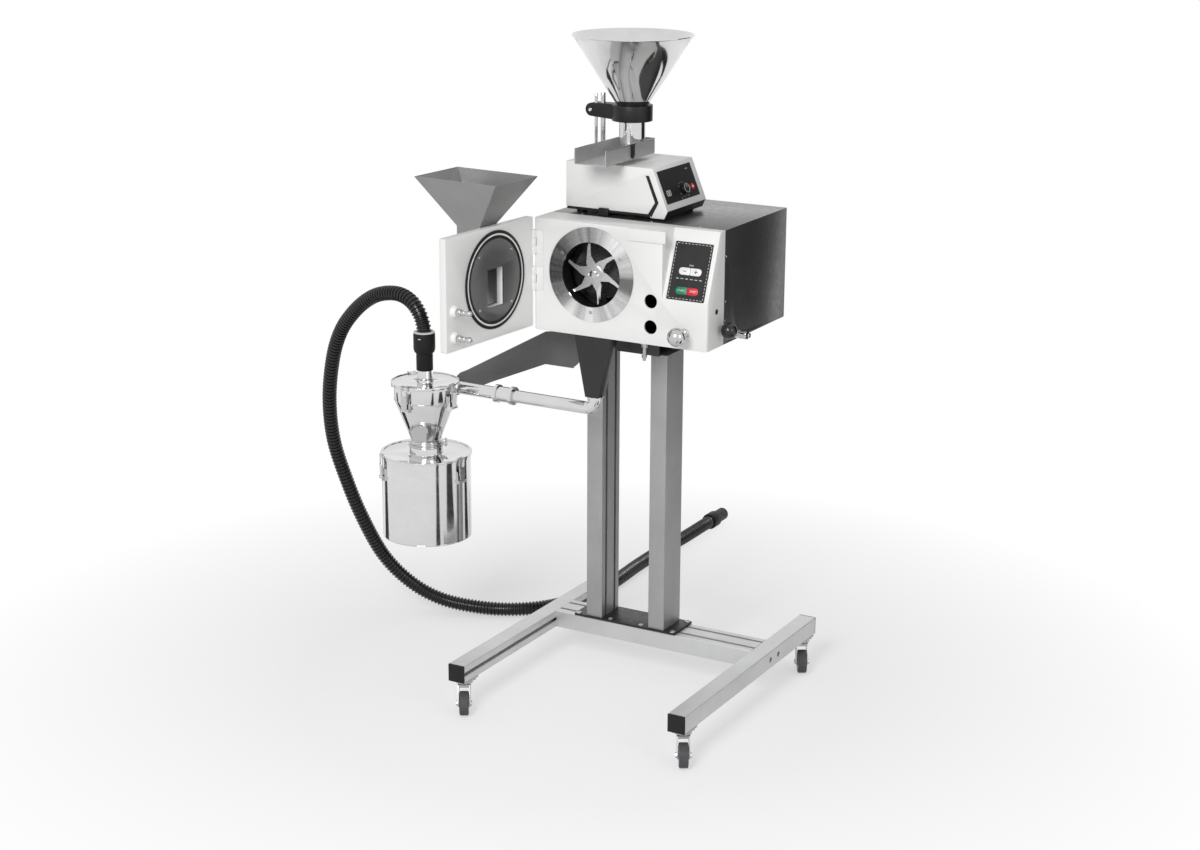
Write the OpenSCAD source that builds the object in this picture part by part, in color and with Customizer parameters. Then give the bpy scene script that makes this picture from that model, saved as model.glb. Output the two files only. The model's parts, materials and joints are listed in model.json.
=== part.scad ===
// Laboratory rotor mill on a mobile stand, with a vibratory feeder on top,
// a hopper on the open door, and a cyclone with a collecting can at the outlet.
// Millimetres, +Z up, floor at z = 0. The front of the mill faces -Y.

/* [Stand] */
// Side of the square extruded beam
beam_s = 45; // [40:1:50]
// Mouth width of the beam slots
slot_w = 10; // [6:0.5:12]
// Length of each foot beam without its end caps
foot_l = 732; // [620:4:860]
// Distance between the foot beams, centre to centre
foot_pitch = 606; // [540:2:720]
// Reach of the foot beams forward of the cross beam's centre
foot_reach = 486; // [420:2:560]
// Thickness of the end caps
cap_t = 4; // [2:0.5:8]
// Thickness of the black base plate under the columns
plate_t = 6; // [4:0.5:12]
// Length of the base plate
plate_l = 292; // [270:2:340]
// Height of the two columns
column_h = 719; // [560:1:900]
// Distance between the columns, centre to centre
column_pitch = 180; // [150:2:220]
// Sideways offset of the column pair from the middle of the stand
column_x = -77.5; // [-110:0.5:-50]

/* [Casters] */
// Height from the floor to the underside of the foot beams
caster_h = 86; // [80:1:100]
// Diameter of the wheels
wheel_d = 60; // [50:1:64]
// Width of the wheels
wheel_w = 22; // [16:1:26]
// Trail of the wheel behind the swivel axis
trail = 30; // [22:1:36]
// Side of the square caster plate
caster_plate = 56; // [48:1:60]
// Distance of the swivel axis from the end of the foot beam
caster_inset = 34; // [30:1:60]

/* [Mill] */
// Overall width of the mill
mill_w = 470; // [440:2:520]
// Overall height of the mill body
mill_h = 276; // [262:1:310]
// Depth of the white front shell
shell_d = 87; // [80:1:110]
// Depth of the dark rear hood
hood_d = 342; // [300:2:420]
// Wall of the moulded front shell
shell_t = 4; // [3:0.5:6]
// Wall of the sheet hood
hood_t = 2; // [1.5:0.5:3]
// Distance of the front face from the middle of the stand
front_y = 200; // [190:1:220]
// Sideways position of the middle of the mill
mill_x = -15; // [-40:1:10]
// Gap between the column tops and the underside of the mill
tray_h = 66; // [50:1:90]
// Sheet thickness of the mounting tray
tray_t = 4; // [2:0.5:6]
// Height of the sloping fascia's lower edge above the underside
fascia_z = 111; // [100:1:125]
// How far the fascia's top leans back
fascia_lean = 62; // [50:1:70]
// Width of the fascia
fascia_w = 120; // [112:1:130]

/* [Grinding chamber] */
// Distance of the rotor axis from the left side of the mill
axis_x = 158; // [150:1:175]
// Height of the rotor axis above the underside of the mill
axis_h = 151.5; // [146:0.5:156]
// Outer diameter of the steel chamber ring
ring_d = 230; // [220:1:236]
// Opening of the chamber ring
opening_d = 158; // [150:1:164]
// Thickness of the chamber ring
ring_t = 5; // [3:0.5:6]
// How far the chamber ring stands in front of the shell
ring_proud = 1.5; // [0.5:0.5:2]
// Depth of the chamber behind its ring
chamber_d = 78; // [70:1:80]
// Inner diameter of the ring sieve
sieve_d = 166; // [160:1:176]
// Width of the ring sieve
sieve_w = 42; // [36:1:46]
// Number of rotor fins
fins = 6; // [4:1:8]
// Tip diameter of the rotor
rotor_d = 148; // [130:1:154]
// Diameter of the motor shaft
shaft_d = 18; // [12:1:24]
// Diameter of the drive motor
motor_d = 136; // [110:2:150]

/* [Door] */
// Width of the door from its hinge axis to its free edge
door_w = 349; // [335:1:360]
// Height of the door
door_h = 269; // [262:1:276]
// Thickness of the door
door_t = 18; // [14:1:24]
// Opening angle at rest
door_open = 94; // [80:1:105]
// Gap between the closed door and the front of the mill
door_gap = 4; // [3:0.5:6]
// Height of each hinge
hinge_h = 58; // [44:1:66]
// Diameter of the hinge pin
hinge_pin_d = 6; // [4:0.5:8]
// Outer diameter of the door seal
seal_d = 236; // [222:1:240]
// Distance of the lock pins from the hinge axis
lock_x = 320; // [305:1:330]
// Diameter of the lock holes
lock_d = 34; // [30:1:38]
// Diameter of the lock pins
lock_pin_d = 14; // [10:1:18]
// Length of the lock pins
lock_pin_l = 50; // [40:1:60]
// Width of the feed opening
feed_w = 64; // [50:1:72]
// Height of the feed opening
feed_h = 92; // [80:1:100]

/* [Hopper] */
// Size of the hopper's rim along the door
hopper_w = 168; // [140:1:190]
// Size of the hopper's rim across the door
hopper_l = 235; // [200:1:260]
// Reach of the rim over the inner face of the door
hopper_over = 65; // [50:1:70]
// Height of the rim above the top of the door
hopper_rise = 114; // [95:1:118]
// Sheet thickness of the hopper
hopper_t = 1.5; // [1:0.5:3]

/* [Outlet and cyclone] */
// Width of the outlet chute at its top
chute_w = 100; // [84:1:120]
// Depth of the outlet chute
chute_d = 38; // [36:1:44]
// Length of the outlet chute below the mill
chute_l = 154; // [130:1:170]
// Diameter of the outlet pipe
pipe_d = 32; // [26:1:34]
// Straight run of the pipe between its elbow and its coupling
pipe_l = 204; // [170:1:240]
// Wall of the stainless tubes
tube_t = 1.5; // [1:0.5:3]
// Diameter of the cyclone's cylinder
cyclone_d = 158; // [144:1:166]
// Height of the cyclone's cylinder
cyclone_h = 40; // [38:1:60]
// Height of the cyclone's cone
cone_h = 108; // [80:1:120]
// Diameter of the cyclone's lower neck
neck_d = 74; // [60:1:84]
// Diameter of the cyclone's outlet tube
outlet_d = 36; // [30:1:40]
// Height of the outlet tube above the lid
outlet_h = 44; // [36:1:70]
// Diameter of the collecting can
can_d = 230; // [210:2:250]
// Height of the collecting can
can_h = 219; // [180:1:260]
// Width of the toggle latches
latch_w = 20; // [14:1:24]

/* [Feeder] */
// Width of the feeder housing at its foot
feeder_w = 278; // [262:2:300]
// Depth of the feeder housing
feeder_d = 204; // [190:2:230]
// Height of the white housing
feeder_h = 110; // [96:1:116]
// How far the sloping side leans in at its top
feeder_lean = 41; // [30:1:50]
// Height of the feeder's black base and feet
feeder_foot = 16; // [12:1:22]
// Wall of the feeder housing
feeder_t = 3; // [2:0.5:5]
// Width of the trough
trough_w = 84; // [80:1:100]
// Height of the trough
trough_h = 36; // [30:1:42]
// Length of the trough
trough_l = 245; // [220:1:270]
// Diameter of the funnel's rim
funnel_d = 290; // [250:2:320]
// Height of the funnel's cone
funnel_h = 167; // [150:1:190]
// Outer diameter of the funnel's neck
funnel_neck = 65; // [56:1:66]
// Diameter of the thick guide rod
rod_d = 12; // [10:1:14]
// Height of the guide rods above the housing
rod_h = 156; // [150:1:180]

/* [Hose] */
// Outer diameter of the ribbed hose over its ribs
hose_d = 38; // [32:1:40]
// Bore of the hose
hose_bore = 28; // [24:1:29]
// Number of ribs on the hose
hose_ribs = 190; // [60:1:200]

/* [Hidden] */
$fn = 64;

white = "#f1f1ef";
dark = "#4b4c4e";
black = "#1d1d1f";
alu = "#b9babb";
chrome = "#c8c9cb";
steel = "#a3a3a0";

gap = 0.3;          // play between pieces of different bodies
run_fit = 0.06;     // radial play of a running pin or shaft
eps = 1;            // overrun of a cut past the face it opens

// Stand
foot_z = caster_h;
beam_top = foot_z + beam_s;
foot_y0 = -foot_reach;
foot_y1 = foot_y0 + foot_l;
cross_d = 2 * beam_s;
cross_l = foot_pitch - beam_s;
plate_w = cross_d + 10;
plate_top = beam_top + plate_t;
column_top = plate_top + column_h;
slot_d = 4.5;       // depth of the slot's mouth
slot_in = 1.8;      // undercut width as a multiple of the mouth
slot_in_d = 7;      // depth of the undercut
core_d = 9;         // bore in the core of each beam
access_d = 14;      // hole in a foot beam for the driver of the screw behind it
beam_r = 2;         // rounding of the beam's edges

// Casters
fork_t = 3;
fork_w = wheel_w + 2 * fork_t + 3;
caster_plate_t = 4;
king_d = 10;
axle_d = 8;
wheel_r = wheel_d / 2;
fork_top = caster_h - caster_plate_t - 2 * gap;
caster_turn = -60;  // direction of the trail as the photograph shows it
caster_x = foot_pitch / 2;
caster_yf = foot_y0 + caster_inset;
caster_yb = foot_y1 - caster_inset;

// Mill
mill_z = column_top + tray_h;
mill_top = mill_z + mill_h;
mx0 = mill_x - mill_w / 2;
mx1 = mill_x + mill_w / 2;
fy = -front_y;
shell_y1 = fy + shell_d;
hood_y1 = shell_y1 + hood_d;
ax = mx0 + axis_x;
az = mill_z + axis_h;
edge_r = 6;         // rounding of the upright front edges
fascia_x = mx1 - fascia_w;
fascia_tilt = atan(fascia_lean / (mill_h - fascia_z));
floor_t = 4;
ring_y = fy - ring_proud;
chamber_y = ring_y + ring_t;
chamber_y1 = chamber_y + chamber_d;
housing_d = ring_d - 4;
housing_t = 8;
port_w = chute_w - 8;
port_d = chute_d - 6;
chute_y = chamber_y + 4 + chute_d / 2;
hub_d = 62;
hub_l = 34;
motor_y = chamber_y1 + hub_l + 6;
motor_l = 210;
rotor_y = chamber_y + 10;
rotor_l = 38;
knob_x = mx1 - 58;
knob_z = mill_z + 39;
knob_d = 45;
lever_y = shell_y1 + 65;
lever_z = mill_z + 14;
lever_l = 88;
lever_lift = 18;
lever_pin_d = 10;
ball_d = 40;

// Door, drawn closed and then swung open about the hinge
hinge_x = mx0;
hinge_y = fy - door_gap;
knuckle_d = 14;
door_z0 = mill_top + 3 - door_h;
door_x1 = hinge_x + door_w;
hinge_z = [mill_top - 88, mill_z + 98];
lock_z = [mill_z + 105.5, mill_z + 43];
feed_z = az - 18 - feed_h / 2;
seal_w = 19;
insert_d = seal_d - 2 * seal_w - 1;
seal_proud = door_gap - ring_proud - 0.5;
hopper_neck = feed_w + 2;
hopper_z = door_z0 + door_h + hopper_rise;
hopper_zn = door_z0 + door_h - 2;

// Outlet, cyclone and can
elbow_r = 26;
chute_lean = 4;     // how far the chute's foot stands forward of its top
pipe_y = chute_y - chute_lean;
pipe_z = mill_z - chute_l - elbow_r - 6;
elbow_x = ax - elbow_r;
pipe_x1 = elbow_x - pipe_l;
coupling_d = 46;
coupling_l = 54;
inlet_x1 = pipe_x1 - coupling_l;
inlet_l = 186;
cyclone_r = cyclone_d / 2;
cyclone_x = inlet_x1 - inlet_l + 14;
cyclone_y = pipe_y - cyclone_r + pipe_d / 2 + 1;
rim_r = cyclone_r + 7;
cyclone_top = pipe_z + pipe_d / 2 + 3;
cyclone_z0 = cyclone_top - cyclone_h;
cone_z0 = cyclone_z0 - cone_h;
lid_t = 3;
outlet_z = cyclone_top + lid_t + outlet_h;
neck_ring_h = 9;
can_top = cone_z0 - 2 * neck_ring_h - 13;
can_z0 = can_top - can_h;
can_r = can_d / 2;
barrel_d = 6;               // latch barrel and the pin through it
latch_pin_d = 3;
wire_d = 2.6;               // wire of the bails
hook_d = wire_d + 0.6;      // rod across the hooks of a bail
cyclone_out = rim_r + wire_d / 2 + 2;   // distance of the latch pivots from the axis
can_out = can_r + 1 + wire_d / 2 + 2;

// Feeder
feeder_x0 = mill_x - 204;
feeder_x1 = feeder_x0 + feeder_w;
feeder_y0 = fy + 100;
feeder_y1 = feeder_y0 + feeder_d;
feeder_z0 = mill_top + feeder_foot;
feeder_top = feeder_z0 + feeder_h;
nose_z = feeder_z0 + 10;                // corner where the sloping side starts
nose_d = 8.5;                           // how far the front hangs below the housing there
feeder_tilt = atan(feeder_lean / (feeder_top - nose_z));
trough_x = ax - 4;
trough_y0 = fy;
trough_z = feeder_top + 12;
trough_t = 1.5;
shake = 0.6;        // travel of the trough to each side
funnel_x = trough_x + 1;
funnel_y = trough_y0 + trough_l - 40;
funnel_z0 = trough_z + 28;
funnel_cone = feeder_top + 134;
funnel_top = funnel_cone + funnel_h;
funnel_t = 1.5;
arm_h = 38;
arm_ring_d = funnel_neck + 34;
arm_top = funnel_cone - 2;
rod_x = trough_x - trough_w / 2 - 38;
rod2_d = 8;
rod2_dx = -15;
rod2_dy = -8;

// Middle of the whole part's outline, without the hose
far_x = cyclone_x - can_out - 2;
near_x = caster_x + (trail + wheel_r - 1) * cos(caster_turn) + wheel_w / 2 * abs(sin(caster_turn));
near_y = hinge_y - door_w * sin(door_open);
mid_x = (far_x + near_x) / 2;
mid_y = (near_y + foot_y1 + cap_t) / 2;

// The hose's route, by hand: up from the cuff, over, down to the floor and back
hose_r = hose_d / 2;
hose_floor = hose_r + 1;
cuff_z1 = outlet_z + 83;
hose_route = [
    [-548, -240, 835], [-548, -240, 855], [-548, -240, 875], [-549, -240, 897],
    [-561, -239, 930], [-589, -234, 958], [-631, -226, 970], [-686, -213, 963],
    [-740, -200, 941], [-800, -184, 897], [-858, -165, 834], [-900, -147, 750],
    [-932, -124, 630], [-943, -96, 510], [-927, -69, 400], [-899, -38, 284],
    [-860, 5, 166], [-800, 45, 86], [-726, 80, 40], [-636, 114, 22],
    [-542, 150, 20], [-460, 225, 20], [-412, 342, 20], [-402, 480, 20],
    [-410, 640, 20], [-412, 800, 20], [-406, 920, 21], [-400, 1040, 26],
    [-400, 1080, 26], [-400, 1120, 26]
];
far_cuff_l = 96;

module place() { translate([-mid_x, -mid_y, 0]) children(); }

// A disc or tube that lies along Y, its near end at y
module along_y(x, y, z, d, l) {
    translate([x, y, z]) rotate([-90, 0, 0]) cylinder(d = d, h = l);
}

module along_x(x, y, z, d, l) {
    translate([x, y, z]) rotate([0, 90, 0]) cylinder(d = d, h = l);
}

module box(x0, x1, y0, y1, z0, z1) {
    translate([x0, y0, z0]) cube([x1 - x0, y1 - y0, z1 - z0]);
}

// Rectangle with true round corners
module round_rect(w, h, r) {
    square([w - 2 * r, h], center = true);
    square([w, h - 2 * r], center = true);
    for (i = [-1, 1], j = [-1, 1])
        translate([i * (w / 2 - r), j * (h / 2 - r)]) circle(r = r);
}

// Cross-section of an extruded beam; each slot is [x, y, angle], opening to +x
module beam_section(w, h, slots, cores) {
    difference() {
        round_rect(w, h, beam_r);
        for (s = slots)
            translate([s[0], s[1]]) rotate(s[2]) {
                translate([-slot_d, -slot_w / 2]) square([slot_d + eps, slot_w]);
                translate([-slot_d - slot_in_d, -slot_w * slot_in / 2])
                    square([slot_in_d, slot_w * slot_in]);
            }
        for (c = cores) translate(c) circle(d = core_d);
    }
}

// Stand: beams, caps, plate, columns, tray and arm
module foot_beam(side) {
    difference() {
        translate([side * foot_pitch / 2, foot_y0, foot_z + beam_s / 2]) rotate([-90, 0, 0])
            linear_extrude(foot_l)
                beam_section(beam_s, beam_s,
                    [[-side * beam_s / 2, 0, side > 0 ? 180 : 0], [0, beam_s / 2, 90]], [[0, 0]]);
        for (y = [-beam_s / 2, beam_s / 2])
            along_x(side * foot_pitch / 2 + (side > 0 ? 0 : -beam_s / 2 - eps), y,
                foot_z + beam_s / 2, access_d, beam_s / 2 + eps);
    }
}

module base_beams() {
    color(alu) place() {
        foot_beam(-1);
        foot_beam(1);
        translate([-cross_l / 2, 0, foot_z + beam_s / 2]) rotate([90, 0, 90])
            linear_extrude(cross_l)
                beam_section(cross_d, beam_s,
                    [for (i = [-1, 1], j = [-1, 1]) [i * beam_s / 2, j * beam_s / 2, j * 90]],
                    [for (i = [-1, 1]) [i * beam_s / 2, 0]]);
    }
}

module end_caps() {
    color(black) place()
        for (i = [-1, 1], y = [foot_y0 - cap_t, foot_y1])
            translate([i * foot_pitch / 2, y, foot_z + beam_s / 2]) rotate([-90, 0, 0])
                linear_extrude(cap_t) round_rect(beam_s, beam_s, beam_r);
}

module base_plate() {
    color(black) place()
        translate([column_x, 0, beam_top])
            linear_extrude(plate_t) round_rect(plate_l, plate_w, 3);
}

module columns() {
    color(alu) place()
        for (i = [-1, 1])
            translate([column_x + i * column_pitch / 2, 0, plate_top])
                linear_extrude(column_h)
                    beam_section(beam_s, cross_d,
                        [for (j = [-1, 1]) [-i * beam_s / 2, j * beam_s / 2, i > 0 ? 180 : 0]],
                        [for (j = [-1, 1]) [0, j * beam_s / 2]]);
}

// Sheet tray on the column tops: a floor with an upright flange front and back
tray_x0 = column_x - column_pitch / 2 - beam_s / 2 - 16;
tray_x1 = column_x + column_pitch / 2 + 8;
tray_y = beam_s + 16;
module mount_tray() {
    color(dark) place() {
        box(tray_x0, tray_x1, -tray_y, tray_y, column_top, column_top + tray_t);
        for (y = [-tray_y, tray_y - tray_t])
            box(tray_x0, tray_x1, y, y + tray_t, column_top, mill_z);
    }
}

// Bent arm: bolted to the tray's front flange, running out and down to the cyclone
arm_bend_x = tray_x0 - 94;
arm_y = -tray_y - tray_t;
arm_tip = [cyclone_x + 8, cyclone_y + rim_r + 10];
arm_run = arm_tip - [arm_bend_x, arm_y];
arm_len = norm(arm_run);
arm_top_z = mill_z - 42;
arm_low_z = mill_z - 126;
lug_w = 26;
// Front face of the sloping part of the arm
function arm_face(x) = arm_y + (x - arm_bend_x) * arm_run[1] / arm_run[0];
module bracket_arm() {
    bend = 2;
    color(dark) place() {
        translate([0, arm_y + tray_t, 0]) rotate([90, 0, 0]) linear_extrude(tray_t)
            difference() {
                translate([arm_bend_x, arm_low_z]) square([170, mill_z - 18 - arm_low_z]);
                translate([arm_bend_x + 62, arm_low_z - 6]) difference() {
                    square([120, 72]);
                    translate([0, 44]) circle(r = 40);
                    translate([-1, 0]) square([20, 8]);
                }
                polygon([
                    [arm_bend_x - 1, arm_top_z], [arm_bend_x + 144, mill_z - 18],
                    [arm_bend_x + 144, mill_z], [arm_bend_x - 1, mill_z]
                ]);
            }
        translate([arm_bend_x, arm_y, 0]) rotate([0, 0, atan2(arm_run[1], arm_run[0])])
            rotate([90, 0, 0]) linear_extrude(tray_t)
                polygon([
                    [-bend, arm_low_z], [-bend, arm_top_z], [0, arm_top_z],
                    [arm_len - 48, cyclone_top + 14], [arm_len - 30, cyclone_top + 6],
                    [arm_len - 18, cyclone_top - 6], [arm_len, cyclone_top - 10],
                    [arm_len, cyclone_z0 - 10], [arm_len - 16, cyclone_z0 - 16],
                    [arm_len * 0.55, cyclone_z0 + 27], [0, arm_low_z]
                ]);
    }
}

// Casters
module caster_plates() {
    color(chrome) place()
        for (i = [-1, 1], y = [caster_yf, caster_yb])
            translate([i * caster_x, y, caster_h - caster_plate_t])
                difference() {
                    translate([-beam_s / 2, -caster_plate / 2, 0])
                        cube([beam_s, caster_plate, caster_plate_t]);
                    translate([0, 0, -eps])
                        cylinder(d = king_d + 2 * run_fit, h = caster_plate_t + 2 * eps);
                }
}

// Swivel fork with its king pin and axle, its trail along +X
module caster_fork(x, y) {
    top_z = fork_top;
    color(chrome) place() translate([x, y, 0]) rotate([0, 0, caster_turn]) {
        translate([0, 0, top_z - 7]) cylinder(d = 42, h = 7);
        translate([0, 0, top_z - eps]) cylinder(d = king_d, h = caster_plate_t + eps + gap);
        difference() {
            translate([-16, -fork_w / 2, top_z - 12]) cube([trail + 12, fork_w, 6]);
            translate([trail + 30, -fork_w, top_z - 20]) cube([40, 2 * fork_w, 30]);
        }
        for (j = [-1, 1])
            translate([0, j * (fork_w - fork_t) / 2, 0]) rotate([90, 0, 0])
                translate([0, 0, -fork_t / 2]) linear_extrude(fork_t) {
                    polygon([
                        [-16, top_z - 6], [trail - 4, top_z - 6], [trail + 9, wheel_r + 2],
                        [trail + 9, wheel_r - 2], [trail - 9, wheel_r - 4]
                    ]);
                    translate([trail, wheel_r]) circle(r = 9.5);
                }
        translate([trail, -fork_w / 2 - 3, wheel_r]) rotate([-90, 0, 0])
            cylinder(d = axle_d, h = fork_w + 6);
        for (j = [-1, 1])
            translate([trail, j * (fork_w / 2 + 2), wheel_r]) rotate([90, 0, 0])
                cylinder(d = 13, h = 4, center = true, $fn = 6);
    }
}

module caster_wheel(x, y) {
    color(dark) place() translate([x, y, 0]) rotate([0, 0, caster_turn])
        translate([trail, 0, wheel_r]) rotate([90, 0, 0]) rotate_extrude()
            difference() {
                union() {
                    translate([axle_d / 2 + run_fit, -wheel_w / 2])
                        square([wheel_r - axle_d / 2 - run_fit - 3, wheel_w]);
                    translate([wheel_r - 6, -wheel_w / 2 + 3]) square([6, wheel_w - 6]);
                    for (j = [-1, 1]) translate([wheel_r - 3, j * (wheel_w / 2 - 3)]) circle(r = 3);
                }
                for (j = [-1, 1])
                    translate([11, j * wheel_w / 2 - 2]) square([wheel_r - 20, 4]);
            }
}

module caster_fork_fl() { caster_fork(-caster_x, caster_yf); }
module caster_fork_fr() { caster_fork(caster_x, caster_yf); }
module caster_fork_bl() { caster_fork(-caster_x, caster_yb); }
module caster_fork_br() { caster_fork(caster_x, caster_yb); }
module caster_wheel_fl() { caster_wheel(-caster_x, caster_yf); }
module caster_wheel_fr() { caster_wheel(caster_x, caster_yf); }
module caster_wheel_bl() { caster_wheel(-caster_x, caster_yb); }
module caster_wheel_br() { caster_wheel(caster_x, caster_yb); }

// Outline of the mill seen from above, with its two front edges rounded
module mill_plan(inset) {
    r = edge_r - min(inset, edge_r - 1);
    x0 = mx0 + inset;
    x1 = mx1 - inset;
    y0 = fy + inset;
    translate([x0, y0 + r]) square([x1 - x0, hood_y1 - y0]);
    translate([x0 + r, y0]) square([x1 - x0 - 2 * r, 2 * r]);
    for (x = [x0 + r, x1 - r]) translate([x, y0 + r]) circle(r = r);
}

// Side profile of the space in front of the sloping fascia
module fascia_cut(inset, x0, x1) {
    y = fy + inset;
    dz = mill_h - fascia_z;
    translate([x0, 0, 0]) rotate([90, 0, 90]) linear_extrude(x1 - x0)
        polygon([
            [fy - 20, mill_z + fascia_z - inset / 3], [y, mill_z + fascia_z - inset / 3],
            [y + fascia_lean, mill_top - inset / 3],
            [y + fascia_lean * 1.3, mill_top + dz * 0.3 - inset / 3],
            [fy - 20, mill_top + dz * 0.3]
        ]);
}

// Moves to a place on the fascia: u to the right from its left edge, v up along the slope
module on_fascia(u, v) {
    translate([fascia_x + u, fy, mill_z + fascia_z]) rotate([90 - fascia_tilt, 0, 0])
        translate([0, v, 0]) children();
}

key_w = 28;
key_h = 17;
key_r = 7;
key_play = 0.4;
key_travel = 0.6;
key_u = [46, 76];                   // middles of the two columns of keys
key_v = [75.5, 29];                 // middles of the upper and the lower pair
pad_w = 99;
pad_h = 139;
pad_u = 10;
pad_v = 6;
pad_t = 1;

module key_holes(grow) {
    for (i = [0, 1], j = [0, 1])
        translate([key_u[i], key_v[j], -12])
            linear_extrude(24) round_rect(key_w + 2 * grow, key_h + 2 * grow, key_r + grow);
}

module front_shell() {
    color(white) place()
        difference() {
            intersection() {
                translate([0, 0, mill_z]) linear_extrude(mill_h) mill_plan(0);
                box(mx0 - eps, mx1 + eps, fy - eps, shell_y1, mill_z, mill_top);
            }
            fascia_cut(0, fascia_x, mx1 + eps);
            difference() {
                translate([0, 0, mill_z + shell_t])
                    linear_extrude(mill_h - 2 * shell_t) mill_plan(shell_t);
                fascia_cut(shell_t + 0.5, fascia_x - shell_t, mx1 + eps);
            }
            along_y(ax, fy - eps, az, ring_d + 2 * gap, shell_t + 2 * eps);
            for (z = lock_z) along_y(hinge_x + lock_x, fy - eps, z, lock_d, shell_t + 2 * eps);
            along_y(knob_x, fy - eps, knob_z, 10 + 2 * run_fit, shell_t + 2 * eps);
            for (z = hinge_z) {
                translate([hinge_x, hinge_y, z - gap])
                    cylinder(d = knuckle_d + 2, h = hinge_h + 2 * gap);
                box(hinge_x - eps, hinge_x + 26 + gap, fy - eps, fy + 3, z - gap, z + hinge_h + gap);
            }
            box(ax - chute_w / 2 - gap, ax + chute_w / 2 + gap, chute_y - chute_d / 2 - gap,
                chute_y + chute_d / 2 + gap, mill_z - eps, mill_z + shell_t + eps);
            on_fascia(0, 0) key_holes(key_play);
        }
}

vents = 14;
module rear_hood() {
    color(dark) place() {
        box(mx0 + hood_t / 2, mx1 - hood_t / 2, shell_y1, hood_y1 - hood_t / 2,
            mill_z, mill_z + floor_t);
        difference() {
            box(mx0, mx1, shell_y1, hood_y1, mill_z, mill_top);
            box(mx0 + hood_t, mx1 - hood_t, shell_y1 - eps, hood_y1 - hood_t,
                mill_z - eps, mill_top - hood_t);
            along_x(mx1 - hood_t - eps, lever_y, lever_z, lever_pin_d + 2 * run_fit, hood_t + 2 * eps);
            for (i = [0 : vents - 1])
                box(ax - 78 + i * 12, ax - 72 + i * 12, hood_y1 - hood_t - eps, hood_y1 + eps,
                    az - 60, az + 50);
        }
    }
}

module chamber_housing() {
    bore_d = sieve_d + 22;
    color(steel) place()
        difference() {
            union() {
                along_y(ax, chamber_y, az, housing_d, chamber_d);
                along_y(ax, chamber_y1 - eps, az, hub_d, hub_l + eps);
                box(ax - port_w / 2 - 4, ax + port_w / 2 + 4, chute_y - chute_d / 2,
                    chute_y + chute_d / 2, mill_z + shell_t + gap, az - bore_d / 3);
                box(ax - 60, ax + 60, shell_y1 + gap, chamber_y1 + hub_l,
                    mill_z + floor_t, mill_z + floor_t + 8);
                box(ax - 9, ax + 9, shell_y1 + gap, chamber_y1 + hub_l,
                    mill_z + floor_t, az - hub_d / 3);
            }
            along_y(ax, chamber_y - eps, az, bore_d, chamber_d - housing_t + eps);
            along_y(ax, chamber_y - eps, az, shaft_d + 2 * run_fit, chamber_d + hub_l + 3 * eps);
            box(ax - port_w / 2, ax + port_w / 2, chute_y - port_d / 2, chute_y + port_d / 2,
                mill_z, az - bore_d / 4);
        }
}

module chamber_ring() {
    color(chrome) place()
        difference() {
            along_y(ax, ring_y, az, ring_d, ring_t);
            along_y(ax, ring_y - eps, az, opening_d, ring_t + 2 * eps);
        }
}

module ring_sieve() {
    color(dark) place()
        difference() {
            union() {
                along_y(ax, chamber_y, az, sieve_d + 3, sieve_w);
                along_y(ax, chamber_y, az, sieve_d + 12, 3);
                along_y(ax, chamber_y + sieve_w - 3, az, sieve_d + 12, 3);
            }
            along_y(ax, chamber_y - eps, az, sieve_d, sieve_w + 2 * eps);
        }
}

// One fin in plan, wide at the hub and narrow and swept at its tip
module fin() {
    r = rotor_d / 2;
    polygon([
        [10, -13], [r * 0.42, -13], [r * 0.62, -7], [r * 0.84, -1], [r, 5],
        [r - 1, 11], [r * 0.8, 7], [r * 0.58, 4.5], [r * 0.4, 9], [8, 16]
    ]);
}

// Rotor on the end of the motor's shaft, seated against the shaft's shoulder
module rotor() {
    color(chrome) place() {
        along_y(ax, rotor_y + 4, az, shaft_d, motor_y + 60 - rotor_y);
        translate([ax, rotor_y, az]) rotate([-90, 0, 0])
            difference() {
                union() {
                    for (i = [0 : fins - 1])
                        rotate([0, 0, i * 360 / fins + 14]) linear_extrude(rotor_l) fin();
                    translate([0, 0, 2]) cylinder(d = 52, h = rotor_l - 2);
                    translate([0, 0, -3]) cylinder(d = 44, h = rotor_l);
                    translate([0, 0, rotor_l - 5]) cylinder(d = rotor_d - 14, h = 5);
                }
                translate([0, 0, 4]) cylinder(d = shaft_d + 2 * run_fit, h = rotor_l);
                for (i = [-1, 1]) translate([i * 12, 0, -3 - eps]) cylinder(d = 6, h = 5);
            }
    }
}

module drive_motor() {
    color(dark) place() {
        difference() {
            union() {
                along_y(ax, motor_y, az, motor_d, motor_l);
                for (i = [-1, 1])
                    box(ax + i * 38 - 6, ax + i * 38 + 6, motor_y + 20, motor_y + motor_l - 30,
                        mill_z + floor_t, az - motor_d / 3);
                box(ax - 56, ax + 56, motor_y + 20, motor_y + motor_l - 30,
                    mill_z + floor_t, mill_z + floor_t + 8);
            }
            along_y(ax, motor_y - eps, az, shaft_d + 2 * run_fit, 74);
        }
    }
}

// Shell side of each hinge: a leaf with two knuckles and the pin through them
knuckle_gap = 0.4;
module hinge_brackets() {
    third = hinge_h / 3;
    color(white) place()
        for (z = hinge_z) {
            difference() {
                box(hinge_x + 4, hinge_x + 26, fy - 1, fy + 3, z, z + hinge_h);
                translate([hinge_x, hinge_y, z + third]) cylinder(d = knuckle_d + 2, h = third);
            }
            for (k = [0, 2])
                translate([hinge_x, hinge_y, z + k * third]) {
                    cylinder(d = knuckle_d, h = third);
                    translate([0, 0, 0]) cube([8, door_gap + 3, third]);
                }
            translate([hinge_x, hinge_y, z]) cylinder(d = hinge_pin_d, h = hinge_h);
        }
}

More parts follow.
